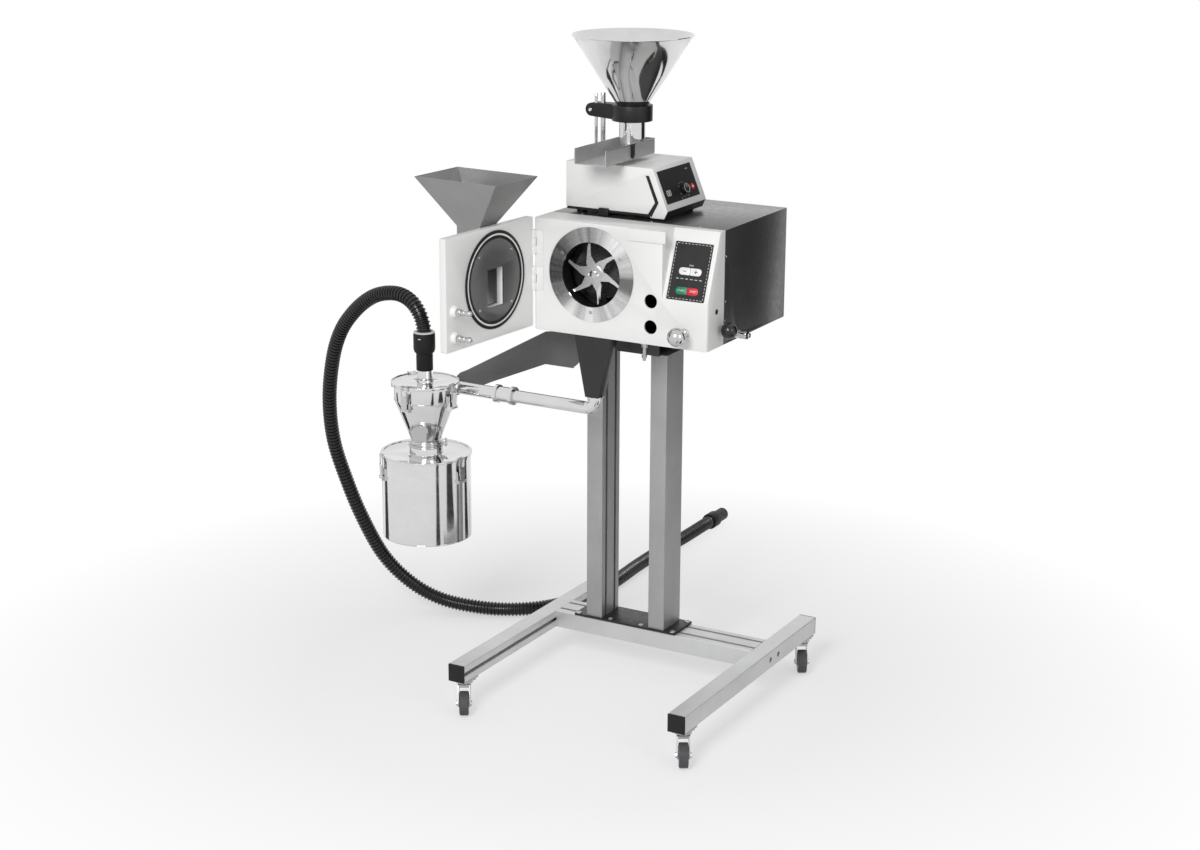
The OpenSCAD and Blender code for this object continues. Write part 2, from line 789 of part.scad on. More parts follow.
module control_panel() {
    color(black) place()
        on_fascia(pad_u, pad_v)
            difference() {
                translate([pad_w / 2, pad_h / 2, 0]) linear_extrude(pad_t)
                    round_rect(pad_w, pad_h, 3);
                translate([-pad_u, -pad_v, 0]) key_holes(key_play);
            }
}

// Key with round corners, a little proud of the membrane
module key(i, j) {
    on_fascia(key_u[i], key_v[j])
        translate([0, 0, pad_t + key_travel - shell_t]) linear_extrude(shell_t)
            round_rect(key_w, key_h, key_r);
}

module minus_key() { color(white) place() key(0, 0); }
module plus_key() { color(white) place() key(1, 0); }
module start_key() { color("#1e9a56") place() key(0, 1); }
module stop_key() { color("#d2282f") place() key(1, 1); }

module lock_knob() {
    stem = 20;
    color(chrome) place() {
        along_y(knob_x, fy - stem - 10, knob_z, 10, stem + 10 + shell_t + 10);
        along_y(knob_x, fy - gap - 9, knob_z, 19, 9);
        translate([knob_x, fy - stem - knob_d / 2, knob_z]) sphere(d = knob_d);
    }
}

module side_lever() {
    z = lever_z;
    x = mx1 + 24;
    color(chrome) place() {
        along_x(mx1 - 14, lever_y, z, lever_pin_d, 16);
        along_x(mx1 + gap, lever_y, z, 20, 32);
        translate([x, lever_y, z]) rotate([90 - lever_lift, 0, 0])
            cylinder(d = 10, h = lever_l);
    }
    color(black) place()
        translate([x, lever_y - lever_l * cos(lever_lift), z + lever_l * sin(lever_lift)])
            sphere(d = ball_d);
}

// Swings a piece drawn in the closed position to the angle at rest
module on_door() {
    place() translate([hinge_x, hinge_y, 0]) rotate([0, 0, -door_open])
        translate([-hinge_x, -hinge_y, 0]) children();
}

module door_panel() {
    third = hinge_h / 3;
    r = 4;
    color(white) on_door()
        difference() {
            union() {
                translate([0, hinge_y - door_t, 0]) rotate([-90, 0, 0]) linear_extrude(door_t)
                    translate([(hinge_x + 2 + door_x1) / 2, -door_z0 - door_h / 2])
                        round_rect(door_w - 2, door_h, r);
                for (z = hinge_z)
                    translate([hinge_x, hinge_y, z + third + knuckle_gap]) {
                        cylinder(d = knuckle_d, h = third - 2 * knuckle_gap);
                        translate([0, -knuckle_d / 2, 0])
                            cube([knuckle_d, knuckle_d / 2, third - 2 * knuckle_gap]);
                    }
            }
            for (z = hinge_z) {
                translate([hinge_x, hinge_y, z - 2]) cylinder(d = hinge_pin_d + 2 * run_fit, h = hinge_h + 4);
                for (k = [0, 2])
                    translate([hinge_x, hinge_y, z + k * third - knuckle_gap])
                        cylinder(d = knuckle_d + 2, h = third + 2 * knuckle_gap);
            }
            along_y(ax, hinge_y - 2, az, seal_d + 2 * gap - 0.6, 2 + eps);
            box(ax - feed_w / 2, ax + feed_w / 2, hinge_y - door_t - eps, hinge_y + eps,
                feed_z, feed_z + feed_h);
        }
}

// Seal ring in its seat, and the rubber pad between hopper and door
module door_seals() {
    color(black) on_door() {
        difference() {
            along_y(ax, hinge_y - 2, az, seal_d, 2 + seal_proud);
            along_y(ax, hinge_y - 2 - eps, az, seal_d - 2 * seal_w, 4 + seal_proud);
        }
        box(ax - feed_w / 2 - 8, ax + feed_w / 2 + 8, hinge_y - door_t - 2, hinge_y - door_t,
            feed_z + feed_h + 4, door_z0 + door_h - 4);
    }
}

module door_insert() {
    color(steel) on_door()
        difference() {
            along_y(ax, hinge_y - 2, az, insert_d, 2 + seal_proud - 0.3);
            box(ax - feed_w / 2, ax + feed_w / 2, hinge_y - 6, hinge_y + 6,
                feed_z, feed_z + feed_h);
        }
}

module lock_pins() {
    color(chrome) on_door()
        for (z = lock_z) {
            along_y(hinge_x + lock_x, hinge_y, z, 26, 4);
            along_y(hinge_x + lock_x, hinge_y, z, lock_pin_d, lock_pin_l - 14);
            along_y(hinge_x + lock_x, hinge_y, z, lock_pin_d - 4, lock_pin_l - 6);
            along_y(hinge_x + lock_x, hinge_y + lock_pin_l - 9, z, lock_pin_d, 9);
        }
}

// Four-sided sheet funnel over a slanted duct that leads to the feed opening
module hopper_solid(d) {
    rim_y0 = hinge_y + hopper_over - hopper_l;
    neck_y1 = hinge_y - door_t - 2;
    hull() {
        box(ax - hopper_w / 2 + d, ax + hopper_w / 2 - d, rim_y0 + d, rim_y0 + hopper_l - d,
            hopper_z - 1, hopper_z + d);
        box(ax - hopper_neck / 2 + d, ax + hopper_neck / 2 - d, neck_y1 - hopper_neck + d,
            neck_y1 - d, hopper_zn - d, hopper_zn + 1);
    }
}

module hopper_duct(d) {
    neck_y1 = hinge_y - door_t - 2;
    translate([ax - hopper_neck / 2 + d, 0, 0]) rotate([90, 0, 90])
        linear_extrude(hopper_neck - 2 * d)
            polygon([
                [neck_y1 - hopper_neck + d, hopper_zn + d], [neck_y1 - d, hopper_zn + d],
                [neck_y1 - d, feed_z + feed_h + 4 - 4 * sign(d)],
                [neck_y1 + 2 + eps * sign(d), feed_z + feed_h + 4 - 4 * sign(d)],
                [neck_y1 + 2 + eps * sign(d), feed_z - 6 + 6 * sign(d)],
                [neck_y1 - 6 + d, feed_z - 6 + 6 * sign(d)],
                [neck_y1 - hopper_neck + d, hopper_zn - 60]
            ]);
}

module hopper() {
    color(steel) on_door()
        difference() {
            union() {
                hopper_solid(0);
                hopper_duct(0);
            }
            hopper_solid(hopper_t);
            hopper_duct(hopper_t);
        }
}

// Tapered duct under the mill, grown inward by d
module chute_solid(d) {
    hull() {
        box(ax - chute_w / 2 + d, ax + chute_w / 2 - d, chute_y - chute_d / 2 + d,
            chute_y + chute_d / 2 - d, mill_z - 2, mill_z + d);
        box(ax - pipe_d / 2 - 2 + d, ax + pipe_d / 2 + 2 - d, pipe_y - pipe_d / 2 - 2 + d,
            pipe_y + pipe_d / 2 + 2 - d, mill_z - chute_l - d, mill_z - chute_l + 1);
    }
}

module outlet_chute() {
    color(dark) place()
        difference() {
            union() {
                chute_solid(0);
                box(ax - chute_w / 2, ax + chute_w / 2, chute_y - chute_d / 2,
                    chute_y + chute_d / 2, mill_z - 1, mill_z + shell_t);
            }
            chute_solid(tube_t);
            box(ax - chute_w / 2 + tube_t, ax + chute_w / 2 - tube_t, chute_y - chute_d / 2 + tube_t,
                chute_y + chute_d / 2 - tube_t, mill_z - 2, mill_z + shell_t + eps);
        }
}

// Round tube along Z with the pipe's bore
module tube(d, h) {
    difference() {
        cylinder(d = d, h = h);
        translate([0, 0, -eps]) cylinder(d = pipe_d - 2 * tube_t, h = h + 2 * eps);
    }
}

module outlet_pipe() {
    run_l = pipe_l + coupling_l / 2;
    color(chrome) place() {
        translate([ax, pipe_y, pipe_z + elbow_r]) tube(pipe_d, 6);
        translate([ax, pipe_y, pipe_z + elbow_r + 3]) tube(pipe_d + 8, 3);
        translate([elbow_x, pipe_y, pipe_z + elbow_r]) rotate([90, 0, 0]) rotate([0, 0, -90])
            rotate_extrude(angle = 90) translate([elbow_r, 0]) difference() {
                circle(d = pipe_d);
                circle(d = pipe_d - 2 * tube_t);
            }
        translate([elbow_x - run_l, pipe_y, pipe_z]) rotate([0, 90, 0]) difference() {
            union() {
                cylinder(d = pipe_d, h = run_l);
                cylinder(d = pipe_d + 7, h = coupling_l / 2);
                translate([0, 0, coupling_l / 2 - 9]) cylinder(d = coupling_d, h = 9);
            }
            translate([0, 0, -eps]) cylinder(d = pipe_d - 2 * tube_t, h = run_l + 2 * eps);
        }
    }
}

// Directions of the toggle latches, seen from the axis of the cyclone and of the can
latch_az = [-92, -3, 147];
can_latch_az = [-128, -8, 112];

// Seat of a toggle latch on a drum of radius r: a plate and two ears with the
// pivot's bores at the height z, out from the drum's axis by the value of out
module latch_seat(r, out, z, h) {
    plate_x = out - barrel_d / 2 - gap;
    translate([r - 3, -latch_w / 2 - 3, z - 6]) cube([plate_x - r + 3, latch_w + 6, h]);
    for (j = [-1, 1])
        translate([0, j * (latch_w / 2 + 1.8), z]) rotate([90, 0, 0]) difference() {
            translate([plate_x - 1, -4, -1.2]) cube([barrel_d / 2 + 4, 8, 2.4]);
            translate([out, 0, -3]) cylinder(d = latch_pin_d + 2 * run_fit, h = 6);
        }
}

// Closed toggle latch in its own frame, +X pointing away from the drum: a barrel
// and pin at the bottom, a bowed lever, and a wire bail hooked over the rim
module toggle_latch(out, z, h) {
    hook = 7;
    w = latch_w - 4;
    bail_y = w / 2 + wire_d / 2 - 0.4;
    translate([out, 0, z]) rotate([90, 0, 0]) {
        cylinder(d = barrel_d, h = latch_w, center = true);
        cylinder(d = latch_pin_d, h = latch_w + 6, center = true);
        translate([0, 0, -w / 2]) linear_extrude(w) polygon([
            [-1.2, 0], [1.4, 0], [2.4, h * 0.25], [2.2, h * 0.45], [3.6, h * 0.6],
            [2.4, h * 0.62], [0.6, h * 0.45], [-0.6, h * 0.25]
        ]);
    }
    side_d = wire_d + 0.3;
    translate([out, 0, z + h * 0.3]) rotate([90, 0, 0])
        cylinder(d = wire_d + 0.4, h = 2 * bail_y + wire_d + 0.4, center = true);
    for (j = [-1, 1]) {
        translate([out, j * bail_y, z + h * 0.3]) cylinder(d = wire_d, h = h * 0.7);
        translate([out + side_d / 2, j * bail_y, z + h]) rotate([0, -90, 0])
            cylinder(d = side_d, h = hook + side_d / 2);
    }
    translate([out - hook, 0, z + h]) rotate([90, 0, 0])
        cylinder(d = hook_d, h = 2 * bail_y + side_d + 0.4, center = true);
}

cyclone_latch_z = cyclone_z0 - 12;
can_latch_z = can_top - 58;

module cyclone_body() {
    color(chrome) place() {
        difference() {
            union() {
                translate([cyclone_x, cyclone_y, 0]) {
                    rotate_extrude() polygon([
                        [0, cone_z0 - 2 * neck_ring_h - 4], [neck_d / 2, cone_z0 - 2 * neck_ring_h - 4],
                        [neck_d / 2, cone_z0], [cyclone_r, cyclone_z0], [cyclone_r, cyclone_top],
                        [0, cyclone_top]
                    ]);
                    translate([0, 0, cyclone_top - 4]) cylinder(r = rim_r, h = 4);
                    translate([0, 0, cone_z0 - neck_ring_h]) cylinder(d = neck_d + 10, h = neck_ring_h);
                }
                along_x(cyclone_x, pipe_y, pipe_z, pipe_d, inlet_x1 - cyclone_x + coupling_l / 2);
                along_x(inlet_x1, pipe_y, pipe_z, coupling_d, 9);
                along_x(inlet_x1, pipe_y, pipe_z, pipe_d + 7, coupling_l / 2);
                // Lug that the arm's tip is bolted to, its end cut flush with the arm
                translate([0, 0, cyclone_z0 + 4]) linear_extrude(22) polygon([
                    [cyclone_x + 10, cyclone_y + cyclone_r - 6],
                    [cyclone_x + 10 + lug_w, cyclone_y + cyclone_r - 14],
                    [cyclone_x + 10 + lug_w, arm_face(cyclone_x + 10 + lug_w)],
                    [cyclone_x + 10, arm_face(cyclone_x + 10)]
                ]);
            }
            translate([cyclone_x, cyclone_y, 0])
                rotate_extrude() polygon([
                    [0, cone_z0 - 2 * neck_ring_h - 4 - eps],
                    [neck_d / 2 - tube_t, cone_z0 - 2 * neck_ring_h - 4 - eps],
                    [neck_d / 2 - tube_t, cone_z0], [cyclone_r - tube_t, cyclone_z0],
                    [cyclone_r - tube_t, cyclone_top + eps], [0, cyclone_top + eps]
                ]);
            along_x(cyclone_x, pipe_y, pipe_z, pipe_d - 2 * tube_t,
                inlet_x1 - cyclone_x + coupling_l);
        }
        translate([cyclone_x, cyclone_y, 0]) for (a = latch_az) rotate([0, 0, a])
            latch_seat(cyclone_r - tube_t + 2.5, cyclone_out, cyclone_latch_z, 36);
    }
}

module cyclone_lid() {
    color(chrome) place() translate([cyclone_x, cyclone_y, 0])
        difference() {
            union() {
                translate([0, 0, cyclone_top]) cylinder(r = cyclone_r, h = lid_t);
                translate([0, 0, cyclone_top]) difference() {
                    cylinder(r = rim_r, h = lid_t + 3);
                    translate([0, 0, lid_t]) cylinder(r = rim_r - 3, h = 4);
                }
                translate([0, 0, cyclone_z0 + 6]) cylinder(d = outlet_d, h = outlet_z - cyclone_z0 - 6);
                translate([0, 0, cyclone_top + lid_t - 1]) cylinder(d = outlet_d + 6, h = 8);
            }
            translate([0, 0, cyclone_z0]) cylinder(d = outlet_d - 2 * tube_t, h = outlet_z);
        }
}

module cyclone_latch(i) {
    color(chrome) place() translate([cyclone_x, cyclone_y, 0]) rotate([0, 0, latch_az[i]])
        toggle_latch(cyclone_out, cyclone_latch_z,
            cyclone_top + lid_t + 3 + hook_d / 2 + gap - cyclone_latch_z);
}
module cyclone_latch_front() { cyclone_latch(0); }
module cyclone_latch_right() { cyclone_latch(1); }
module cyclone_latch_back() { cyclone_latch(2); }

module can() {
    color(chrome) place() translate([cyclone_x, cyclone_y, 0])
        difference() {
            union() {
                translate([0, 0, can_z0]) cylinder(r = can_r - 2, h = can_h - 5);
                translate([0, 0, can_top - 9]) cylinder(r = can_r, h = 4);
                for (a = can_latch_az) rotate([0, 0, a])
                    latch_seat(can_r - 2, can_out, can_latch_z, 32);
            }
            translate([0, 0, can_z0 + 2]) cylinder(r = can_r - 4, h = can_h);
        }
}

module can_lid() {
    z = can_top - 5;
    spigot_z = cone_z0 - 2 * neck_ring_h - 4;
    color(chrome) place() translate([cyclone_x, cyclone_y, 0])
        difference() {
            union() {
                translate([0, 0, z]) cylinder(r = can_r - 4, h = 2);
                difference() {
                    translate([0, 0, z]) cylinder(r = can_r + 1, h = 5);
                    translate([0, 0, z - eps]) cylinder(r = can_r - 5, h = 8);
                }
                translate([0, 0, z]) cylinder(d = neck_d + 10, h = cone_z0 - neck_ring_h - gap - z);
            }
            translate([0, 0, z - eps]) cylinder(d = neck_d - 2 * tube_t, h = 60);
            translate([0, 0, spigot_z]) cylinder(d = neck_d + 2 * gap, h = 60);
        }
}

module can_latch(i) {
    color(chrome) place() translate([cyclone_x, cyclone_y, 0]) rotate([0, 0, can_latch_az[i]])
        toggle_latch(can_out, can_latch_z, can_top + hook_d / 2 + gap - can_latch_z);
}
module can_latch_front() { can_latch(0); }
module can_latch_right() { can_latch(1); }
module can_latch_back() { can_latch(2); }

// Front profile of the housing, grown inward by d: its right side leans in from a
// nose that hangs a little below the rest
module feeder_profile(d) {
    z0 = feeder_z0 - (d > 0 ? 20 : 0);
    polygon([
        [feeder_x0 + d, z0], [feeder_x1 - 50, z0],
        [feeder_x1 - 45 + d, feeder_z0 - nose_d + (d > 0 ? -20 : 0)],
        [feeder_x1 - 9 - d, feeder_z0 - nose_d + (d > 0 ? -20 : 0)],
        [feeder_x1 - d, nose_z - d / 4],
        [feeder_x1 - feeder_lean - d, feeder_top - d], [feeder_x0 + d, feeder_top - d]
    ]);
}

// Inlaid strip along the front, following the outline of the right side
module feeder_strip() {
    polygon([
        [feeder_x1 - 61, feeder_top - 18], [feeder_x1 - 51, feeder_top - 18],
        [feeder_x1 - 24, nose_z + 16], [feeder_x1 - 45, feeder_z0 - nose_d + 1],
        [feeder_x1 - 51, feeder_z0], [feeder_x1 - 32, nose_z + 18]
    ]);
}

module on_feeder_panel(u, v) {
    translate([feeder_x1, feeder_y0 + u, nose_z]) rotate([0, -feeder_tilt, 0])
        translate([0, 0, v]) rotate([90, 0, 90]) children();
}

feeder_key_u = [136, 158];
feeder_key_v = 40;
feeder_key_d = 15;
dial_u = 108;
dial_v = 40;
dial_d = 26;
panel_u = 12;
panel_v = 16;
panel_w = 170;
panel_h = 82;

module feeder_housing() {
    color(white) place()
        difference() {
            translate([0, feeder_y1, 0]) rotate([90, 0, 0]) linear_extrude(feeder_d)
                feeder_profile(0);
            translate([0, feeder_y1 - feeder_t, 0]) rotate([90, 0, 0])
                linear_extrude(feeder_d - 2 * feeder_t) feeder_profile(feeder_t);
            box(feeder_x1 - 60, feeder_x1 + eps, feeder_y0 + feeder_t, feeder_y1 + eps,
                feeder_z0 - 20, nose_z);
            translate([0, feeder_y0 + 0.8, 0]) rotate([90, 0, 0])
                linear_extrude(0.8 + eps) feeder_strip();
            box(trough_x - 20 - gap, trough_x + 20 + gap, trough_y0 + 128 - shake - gap,
                trough_y0 + 188 + shake + gap, feeder_top - feeder_t - eps, feeder_top + eps);
            for (u = feeder_key_u)
                on_feeder_panel(u, feeder_key_v) translate([0, 0, -8])
                    cylinder(d = feeder_key_d + 2 * key_play, h = 12);
            on_feeder_panel(dial_u, dial_v) translate([0, 0, -8])
                cylinder(d = 8 + 2 * run_fit, h = 12);
        }
}

// Black tray under the housing, with its feet, a stop at the front, and the
// slanting flank below the control panel
module feeder_base() {
    slab = 7;
    color(black) place() {
        box(feeder_x0 + 1.5, feeder_x1 - 50, feeder_y0 + 1.5, feeder_y1 - 1.5,
            feeder_z0 - slab, feeder_z0);
        translate([0, feeder_y1 - 1.5, 0]) rotate([90, 0, 0])
            linear_extrude(feeder_d - feeder_t - 1.8) polygon([
                [feeder_x1 - 56, feeder_z0 - slab], [feeder_x1 - 52, feeder_z0 - nose_d],
                [feeder_x1 - 9, feeder_z0 - nose_d], [feeder_x1 - 0.2, nose_z],
                [feeder_x1 - 56, nose_z]
            ]);
        for (x = [feeder_x0 + 30, feeder_x1 - 36], y = [feeder_y0 + 26, feeder_y1 - 26])
            translate([x, y, mill_top]) cylinder(d = 26, h = feeder_foot - slab + 1);
        box(trough_x - 29, trough_x - 3, feeder_y0 - 7, feeder_y0 + 10, mill_top, feeder_z0);
        box(trough_x - 29, trough_x - 3, feeder_y0 - 7, feeder_y0 - gap, feeder_z0 - 1, feeder_z0 + 4);
    }
}

module feeder_panel() {
    color(black) place()
        on_feeder_panel(panel_u, panel_v) difference() {
            cube([panel_w, panel_h, 0.8]);
            for (u = feeder_key_u)
                translate([u - panel_u, feeder_key_v - panel_v, -eps])
                    cylinder(d = feeder_key_d + 2 * key_play, h = 4);
            translate([dial_u - panel_u, dial_v - panel_v, -eps])
                cylinder(d = 8 + 2 * run_fit, h = 4);
        }
}

module feeder_dial() {
    color(chrome) place()
        on_feeder_panel(dial_u, dial_v) {
            translate([0, 0, 0.8 + gap]) cylinder(d = dial_d, h = 12);
            translate([0, 0, -8]) cylinder(d = 8, h = 12);
        }
}

module feeder_key(i) {
    on_feeder_panel(feeder_key_u[i], feeder_key_v)
        translate([0, 0, -2]) cylinder(d = feeder_key_d, h = 4.2);
}
module feeder_start_key() { color("#1e9a56") place() feeder_key(0); }
module feeder_stop_key() { color("#d2282f") place() feeder_key(1); }

module feeder_trough() {
    y1 = trough_y0 + trough_l;
    color(steel) place() {
        difference() {
            box(trough_x - trough_w / 2, trough_x + trough_w / 2, trough_y0, y1,
                trough_z, trough_z + trough_h);
            box(trough_x - trough_w / 2 + trough_t, trough_x + trough_w / 2 - trough_t,
                trough_y0 - eps, y1 - trough_t, trough_z + trough_t, trough_z + trough_h + eps);
        }
        box(trough_x - 20, trough_x + 20, trough_y0 + 128, trough_y0 + 188,
            feeder_top - 20, trough_z);
    }
}

module guide_rods() {
    color(chrome) place() {
        translate([rod_x, funnel_y, feeder_top]) cylinder(d = rod_d, h = rod_h);
        translate([rod_x + rod2_dx, funnel_y + rod2_dy, feeder_top])
            cylinder(d = rod2_d, h = rod_h - 2);
    }
}

module clamp_arm() {
    end_x = rod_x + rod2_dx - 24;
    color(black) place()
        difference() {
            union() {
                translate([funnel_x, funnel_y, arm_top - arm_h]) cylinder(d = arm_ring_d, h = arm_h);
                translate([0, funnel_y + 15, 0]) rotate([90, 0, 0]) linear_extrude(34) {
                    polygon([
                        [end_x + 16, arm_top - 33], [funnel_x - 30, arm_top - arm_h],
                        [funnel_x - 30, arm_top], [end_x + 16, arm_top - 1]
                    ]);
                    translate([end_x + 16, arm_top - 17]) circle(r = 16);
                }
            }
            translate([funnel_x, funnel_y, arm_top - arm_h - eps])
                cylinder(d = funnel_neck + 2 * gap, h = arm_h + 2 * eps);
            translate([rod_x, funnel_y, arm_top - arm_h - eps])
                cylinder(d = rod_d + 2 * run_fit, h = arm_h + 2 * eps);
            translate([rod_x + rod2_dx, funnel_y + rod2_dy, arm_top - arm_h - eps])
                cylinder(d = rod2_d + 2 * run_fit, h = arm_h + 2 * eps);
        }
}

module funnel() {
    r0 = funnel_neck / 2;
    r1 = funnel_d / 2;
    color(chrome) place() translate([funnel_x, funnel_y, 0])
        rotate_extrude($fn = 96)
            polygon([
                [r0 - funnel_t, funnel_z0], [r0, funnel_z0], [r0, funnel_cone - 1.5],
                [r0 + 6, funnel_cone - 1.5], [r1, funnel_top - 3], [r1 + 1.5, funnel_top - 3],
                [r1 + 1.5, funnel_top], [r1 - funnel_t, funnel_top], [r0 + 5, funnel_cone + 1],
                [r0 - funnel_t, funnel_cone + 1]
            ]);
}

function unit(v) = v / norm(v);
// Point at t from 0 to 1 between p[i] and p[i + 1] on a smooth curve through all points
function spline(p, i, t) =
    let (n = len(p) - 1,
         a = i > 0 ? p[i - 1] : 2 * p[0] - p[1],
         b = p[i],
         c = p[i + 1],
         d = i + 2 <= n ? p[i + 2] : 2 * p[n] - p[n - 1])
    0.5 * (2 * b + (c - a) * t + (2 * a - 5 * b + 4 * c - d) * t * t
        + (3 * b - a - 3 * c + d) * t * t * t);
fine = [for (i = [0 : len(hose_route) - 2], k = [0 : 9]) spline(hose_route, i, k / 10),
        hose_route[len(hose_route) - 1]];
// Running length at each fine point
run = [for (i = 0, s = 0; i < len(fine); s = s + (i + 1 < len(fine) ? norm(fine[i + 1] - fine[i]) : 0),
       i = i + 1) s];
hose_l = run[len(run) - 1];
// Index of the fine point at or before length s
function seek(s, lo, hi) =
    hi - lo <= 1 ? lo : let (m = floor((lo + hi) / 2)) run[m] <= s ? seek(s, m, hi) : seek(s, lo, m);
function hose_at(s) =
    let (q = min(max(s, 0), hose_l), i = seek(q, 0, len(run) - 1))
    fine[i] + (fine[i + 1] - fine[i]) * (q - run[i]) / (run[i + 1] - run[i]);
function hose_dir(s) = unit(hose_at(s + 6) - hose_at(s - 6));

// Frames carried along the tube without twist, then a ring of points at each station
function carry(ts) =
    [for (i = 0, u = unit(cross(ts[0], [0, 1, 0])); i < len(ts); i = i + 1,
          u = i < len(ts) ? unit(u - (u * ts[i]) * ts[i]) : u) u];
function rings(ss, rs, sides) =
    let (ts = [for (s = ss) hose_dir(s)], us = carry(ts))
    [for (i = [0 : len(ss) - 1], k = [0 : sides - 1])
        let (a = 360 * k / sides, w = cross(ts[i], us[i]))
        hose_at(ss[i]) + rs[i] * (cos(a) * us[i] + sin(a) * w)];
function strip(n0, rows, sides, flip) =
    [for (i = [0 : rows - 2], k = [0 : sides - 1])
        let (a = n0 + i * sides + k, b = n0 + i * sides + (k + 1) % sides,
             c = a + sides, d = b + sides)
        each flip ? [[a, c, b], [b, c, d]] : [[a, b, c], [b, d, c]]];
function ring_cap(a0, b0, sides, flip) =
    [for (k = [0 : sides - 1])
        let (a = a0 + k, b = a0 + (k + 1) % sides, c = b0 + k, d = b0 + (k + 1) % sides)
        each flip ? [[a, b, c], [b, d, c]] : [[a, c, b], [b, c, d]]];

module hose() {
    sides = 8;
    ribs = hose_ribs;
    pitch = (hose_l - 2 * hose_d) / ribs;
    // Straight plain ends, one diameter long, and a crest and a root for each rib
    ss = concat([0, hose_d],
        [for (i = [0 : 2 * ribs - 1]) hose_d + (i + 0.75) * pitch / 2],
        [hose_l - hose_d + 1, hose_l]);
    rs = concat([hose_r - 2, hose_r - 2],
        [for (i = [0 : 2 * ribs - 1]) i % 2 == 0 ? hose_r : hose_r - 3],
        [hose_r - 2, hose_r - 2]);
    bore_rows = 170;
    bs = [for (i = [0 : bore_rows - 1]) hose_l * i / (bore_rows - 1)];
    br = [for (i = [0 : bore_rows - 1]) hose_bore / 2];
    outer = rings(ss, rs, sides);
    inner = rings(bs, br, sides);
    n = len(ss);
    first = len(outer);
    color(black) place()
        polyhedron(points = concat(outer, inner),
            faces = concat(
                strip(0, n, sides, true), strip(first, bore_rows, sides, false),
                ring_cap(0, first, sides, true),
                ring_cap((n - 1) * sides, first + (bore_rows - 1) * sides, sides, false)));
}

// Rubber cuff: a sleeve on the outlet tube and a wider socket that takes the hose
module hose_cuff() {
    sleeve_z0 = outlet_z - 14;
    socket_z0 = hose_route[0][2];
    color(black) place() translate([cyclone_x, cyclone_y, 0])
        difference() {
            rotate_extrude() polygon([
                [0, sleeve_z0], [outlet_d / 2 + 3, sleeve_z0], [outlet_d / 2 + 3, socket_z0 - 3],
                [outlet_d / 2 + 7, socket_z0], [outlet_d / 2 + 9.5, socket_z0 + 8],
                [outlet_d / 2 + 9.5, cuff_z1 - 5], [outlet_d / 2 + 8, cuff_z1], [0, cuff_z1]
            ]);
            translate([0, 0, sleeve_z0 - eps]) cylinder(d = outlet_d + 2 * gap, h = 14 + 2 * eps);
            translate([0, 0, outlet_z]) cylinder(d = hose_bore, h = 60);
            translate([0, 0, socket_z0]) cylinder(d = hose_d + 2 * gap, h = 100);
        }
}

far_end = hose_route[len(hose_route) - 1];
far_socket = 40;
module hose_far_cuff() {
    color(black) place() translate(far_end) rotate([-90, 0, 0])
        difference() {
            rotate_extrude() polygon([
                [0, -far_socket], [hose_r + 4, -far_socket], [hose_r + 5, -far_socket + 4],
                [hose_r + 5, 0], [hose_r, 9], [hose_r, far_cuff_l - far_socket],
                [0, far_cuff_l - far_socket]
            ]);
            translate([0, 0, -far_socket - eps]) cylinder(d = hose_d + 2 * gap, h = far_socket + eps);
            translate([0, 0, -eps]) cylinder(d = hose_bore, h = far_cuff_l);
        }
}

base_beams();
end_caps();
base_plate();
columns();
mount_tray();
bracket_arm();
caster_plates();
caster_fork_fl();
caster_fork_fr();
caster_fork_bl();
caster_fork_br();
caster_wheel_fl();
caster_wheel_fr();
caster_wheel_bl();
caster_wheel_br();
rear_hood();
front_shell();
drive_motor();
rotor();
ring_sieve();
chamber_housing();
chamber_ring();
hinge_brackets();
control_panel();
minus_key();
plus_key();
start_key();
stop_key();
lock_knob();
side_lever();
door_panel();
door_seals();
door_insert();
lock_pins();
hopper();
outlet_chute();
outlet_pipe();
cyclone_body();
cyclone_lid();
cyclone_latch_front();
cyclone_latch_right();
cyclone_latch_back();
can();
can_lid();
can_latch_front();
can_latch_right();
can_latch_back();
feeder_base();
feeder_housing();
feeder_panel();
feeder_dial();
feeder_start_key();
feeder_stop_key();
feeder_trough();
guide_rods();
clamp_arm();
funnel();
hose_cuff();
hose();
hose_far_cuff();
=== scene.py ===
"""Laboratory mill on its mobile stand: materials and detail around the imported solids."""

import json
import math

import bmesh
import bpy
from mathutils import Matrix, Vector


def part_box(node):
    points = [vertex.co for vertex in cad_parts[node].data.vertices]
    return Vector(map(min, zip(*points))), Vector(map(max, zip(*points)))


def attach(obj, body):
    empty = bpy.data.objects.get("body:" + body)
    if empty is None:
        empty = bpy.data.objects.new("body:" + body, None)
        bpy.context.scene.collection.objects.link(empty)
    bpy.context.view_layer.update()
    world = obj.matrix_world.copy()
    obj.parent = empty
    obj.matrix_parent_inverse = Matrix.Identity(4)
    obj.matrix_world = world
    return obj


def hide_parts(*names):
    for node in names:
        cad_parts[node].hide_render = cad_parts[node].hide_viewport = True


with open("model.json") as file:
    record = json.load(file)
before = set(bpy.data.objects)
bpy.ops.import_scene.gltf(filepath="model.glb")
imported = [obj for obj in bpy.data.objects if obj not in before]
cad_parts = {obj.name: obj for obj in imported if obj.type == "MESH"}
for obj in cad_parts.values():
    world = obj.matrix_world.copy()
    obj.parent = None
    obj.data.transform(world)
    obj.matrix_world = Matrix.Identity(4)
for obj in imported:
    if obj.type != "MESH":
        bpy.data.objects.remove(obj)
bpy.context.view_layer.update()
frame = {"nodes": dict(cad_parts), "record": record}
node = frame["nodes"]
scene = bpy.context.scene

# Every size below is in millimetres from the middle of the cross beam, as in the part's source

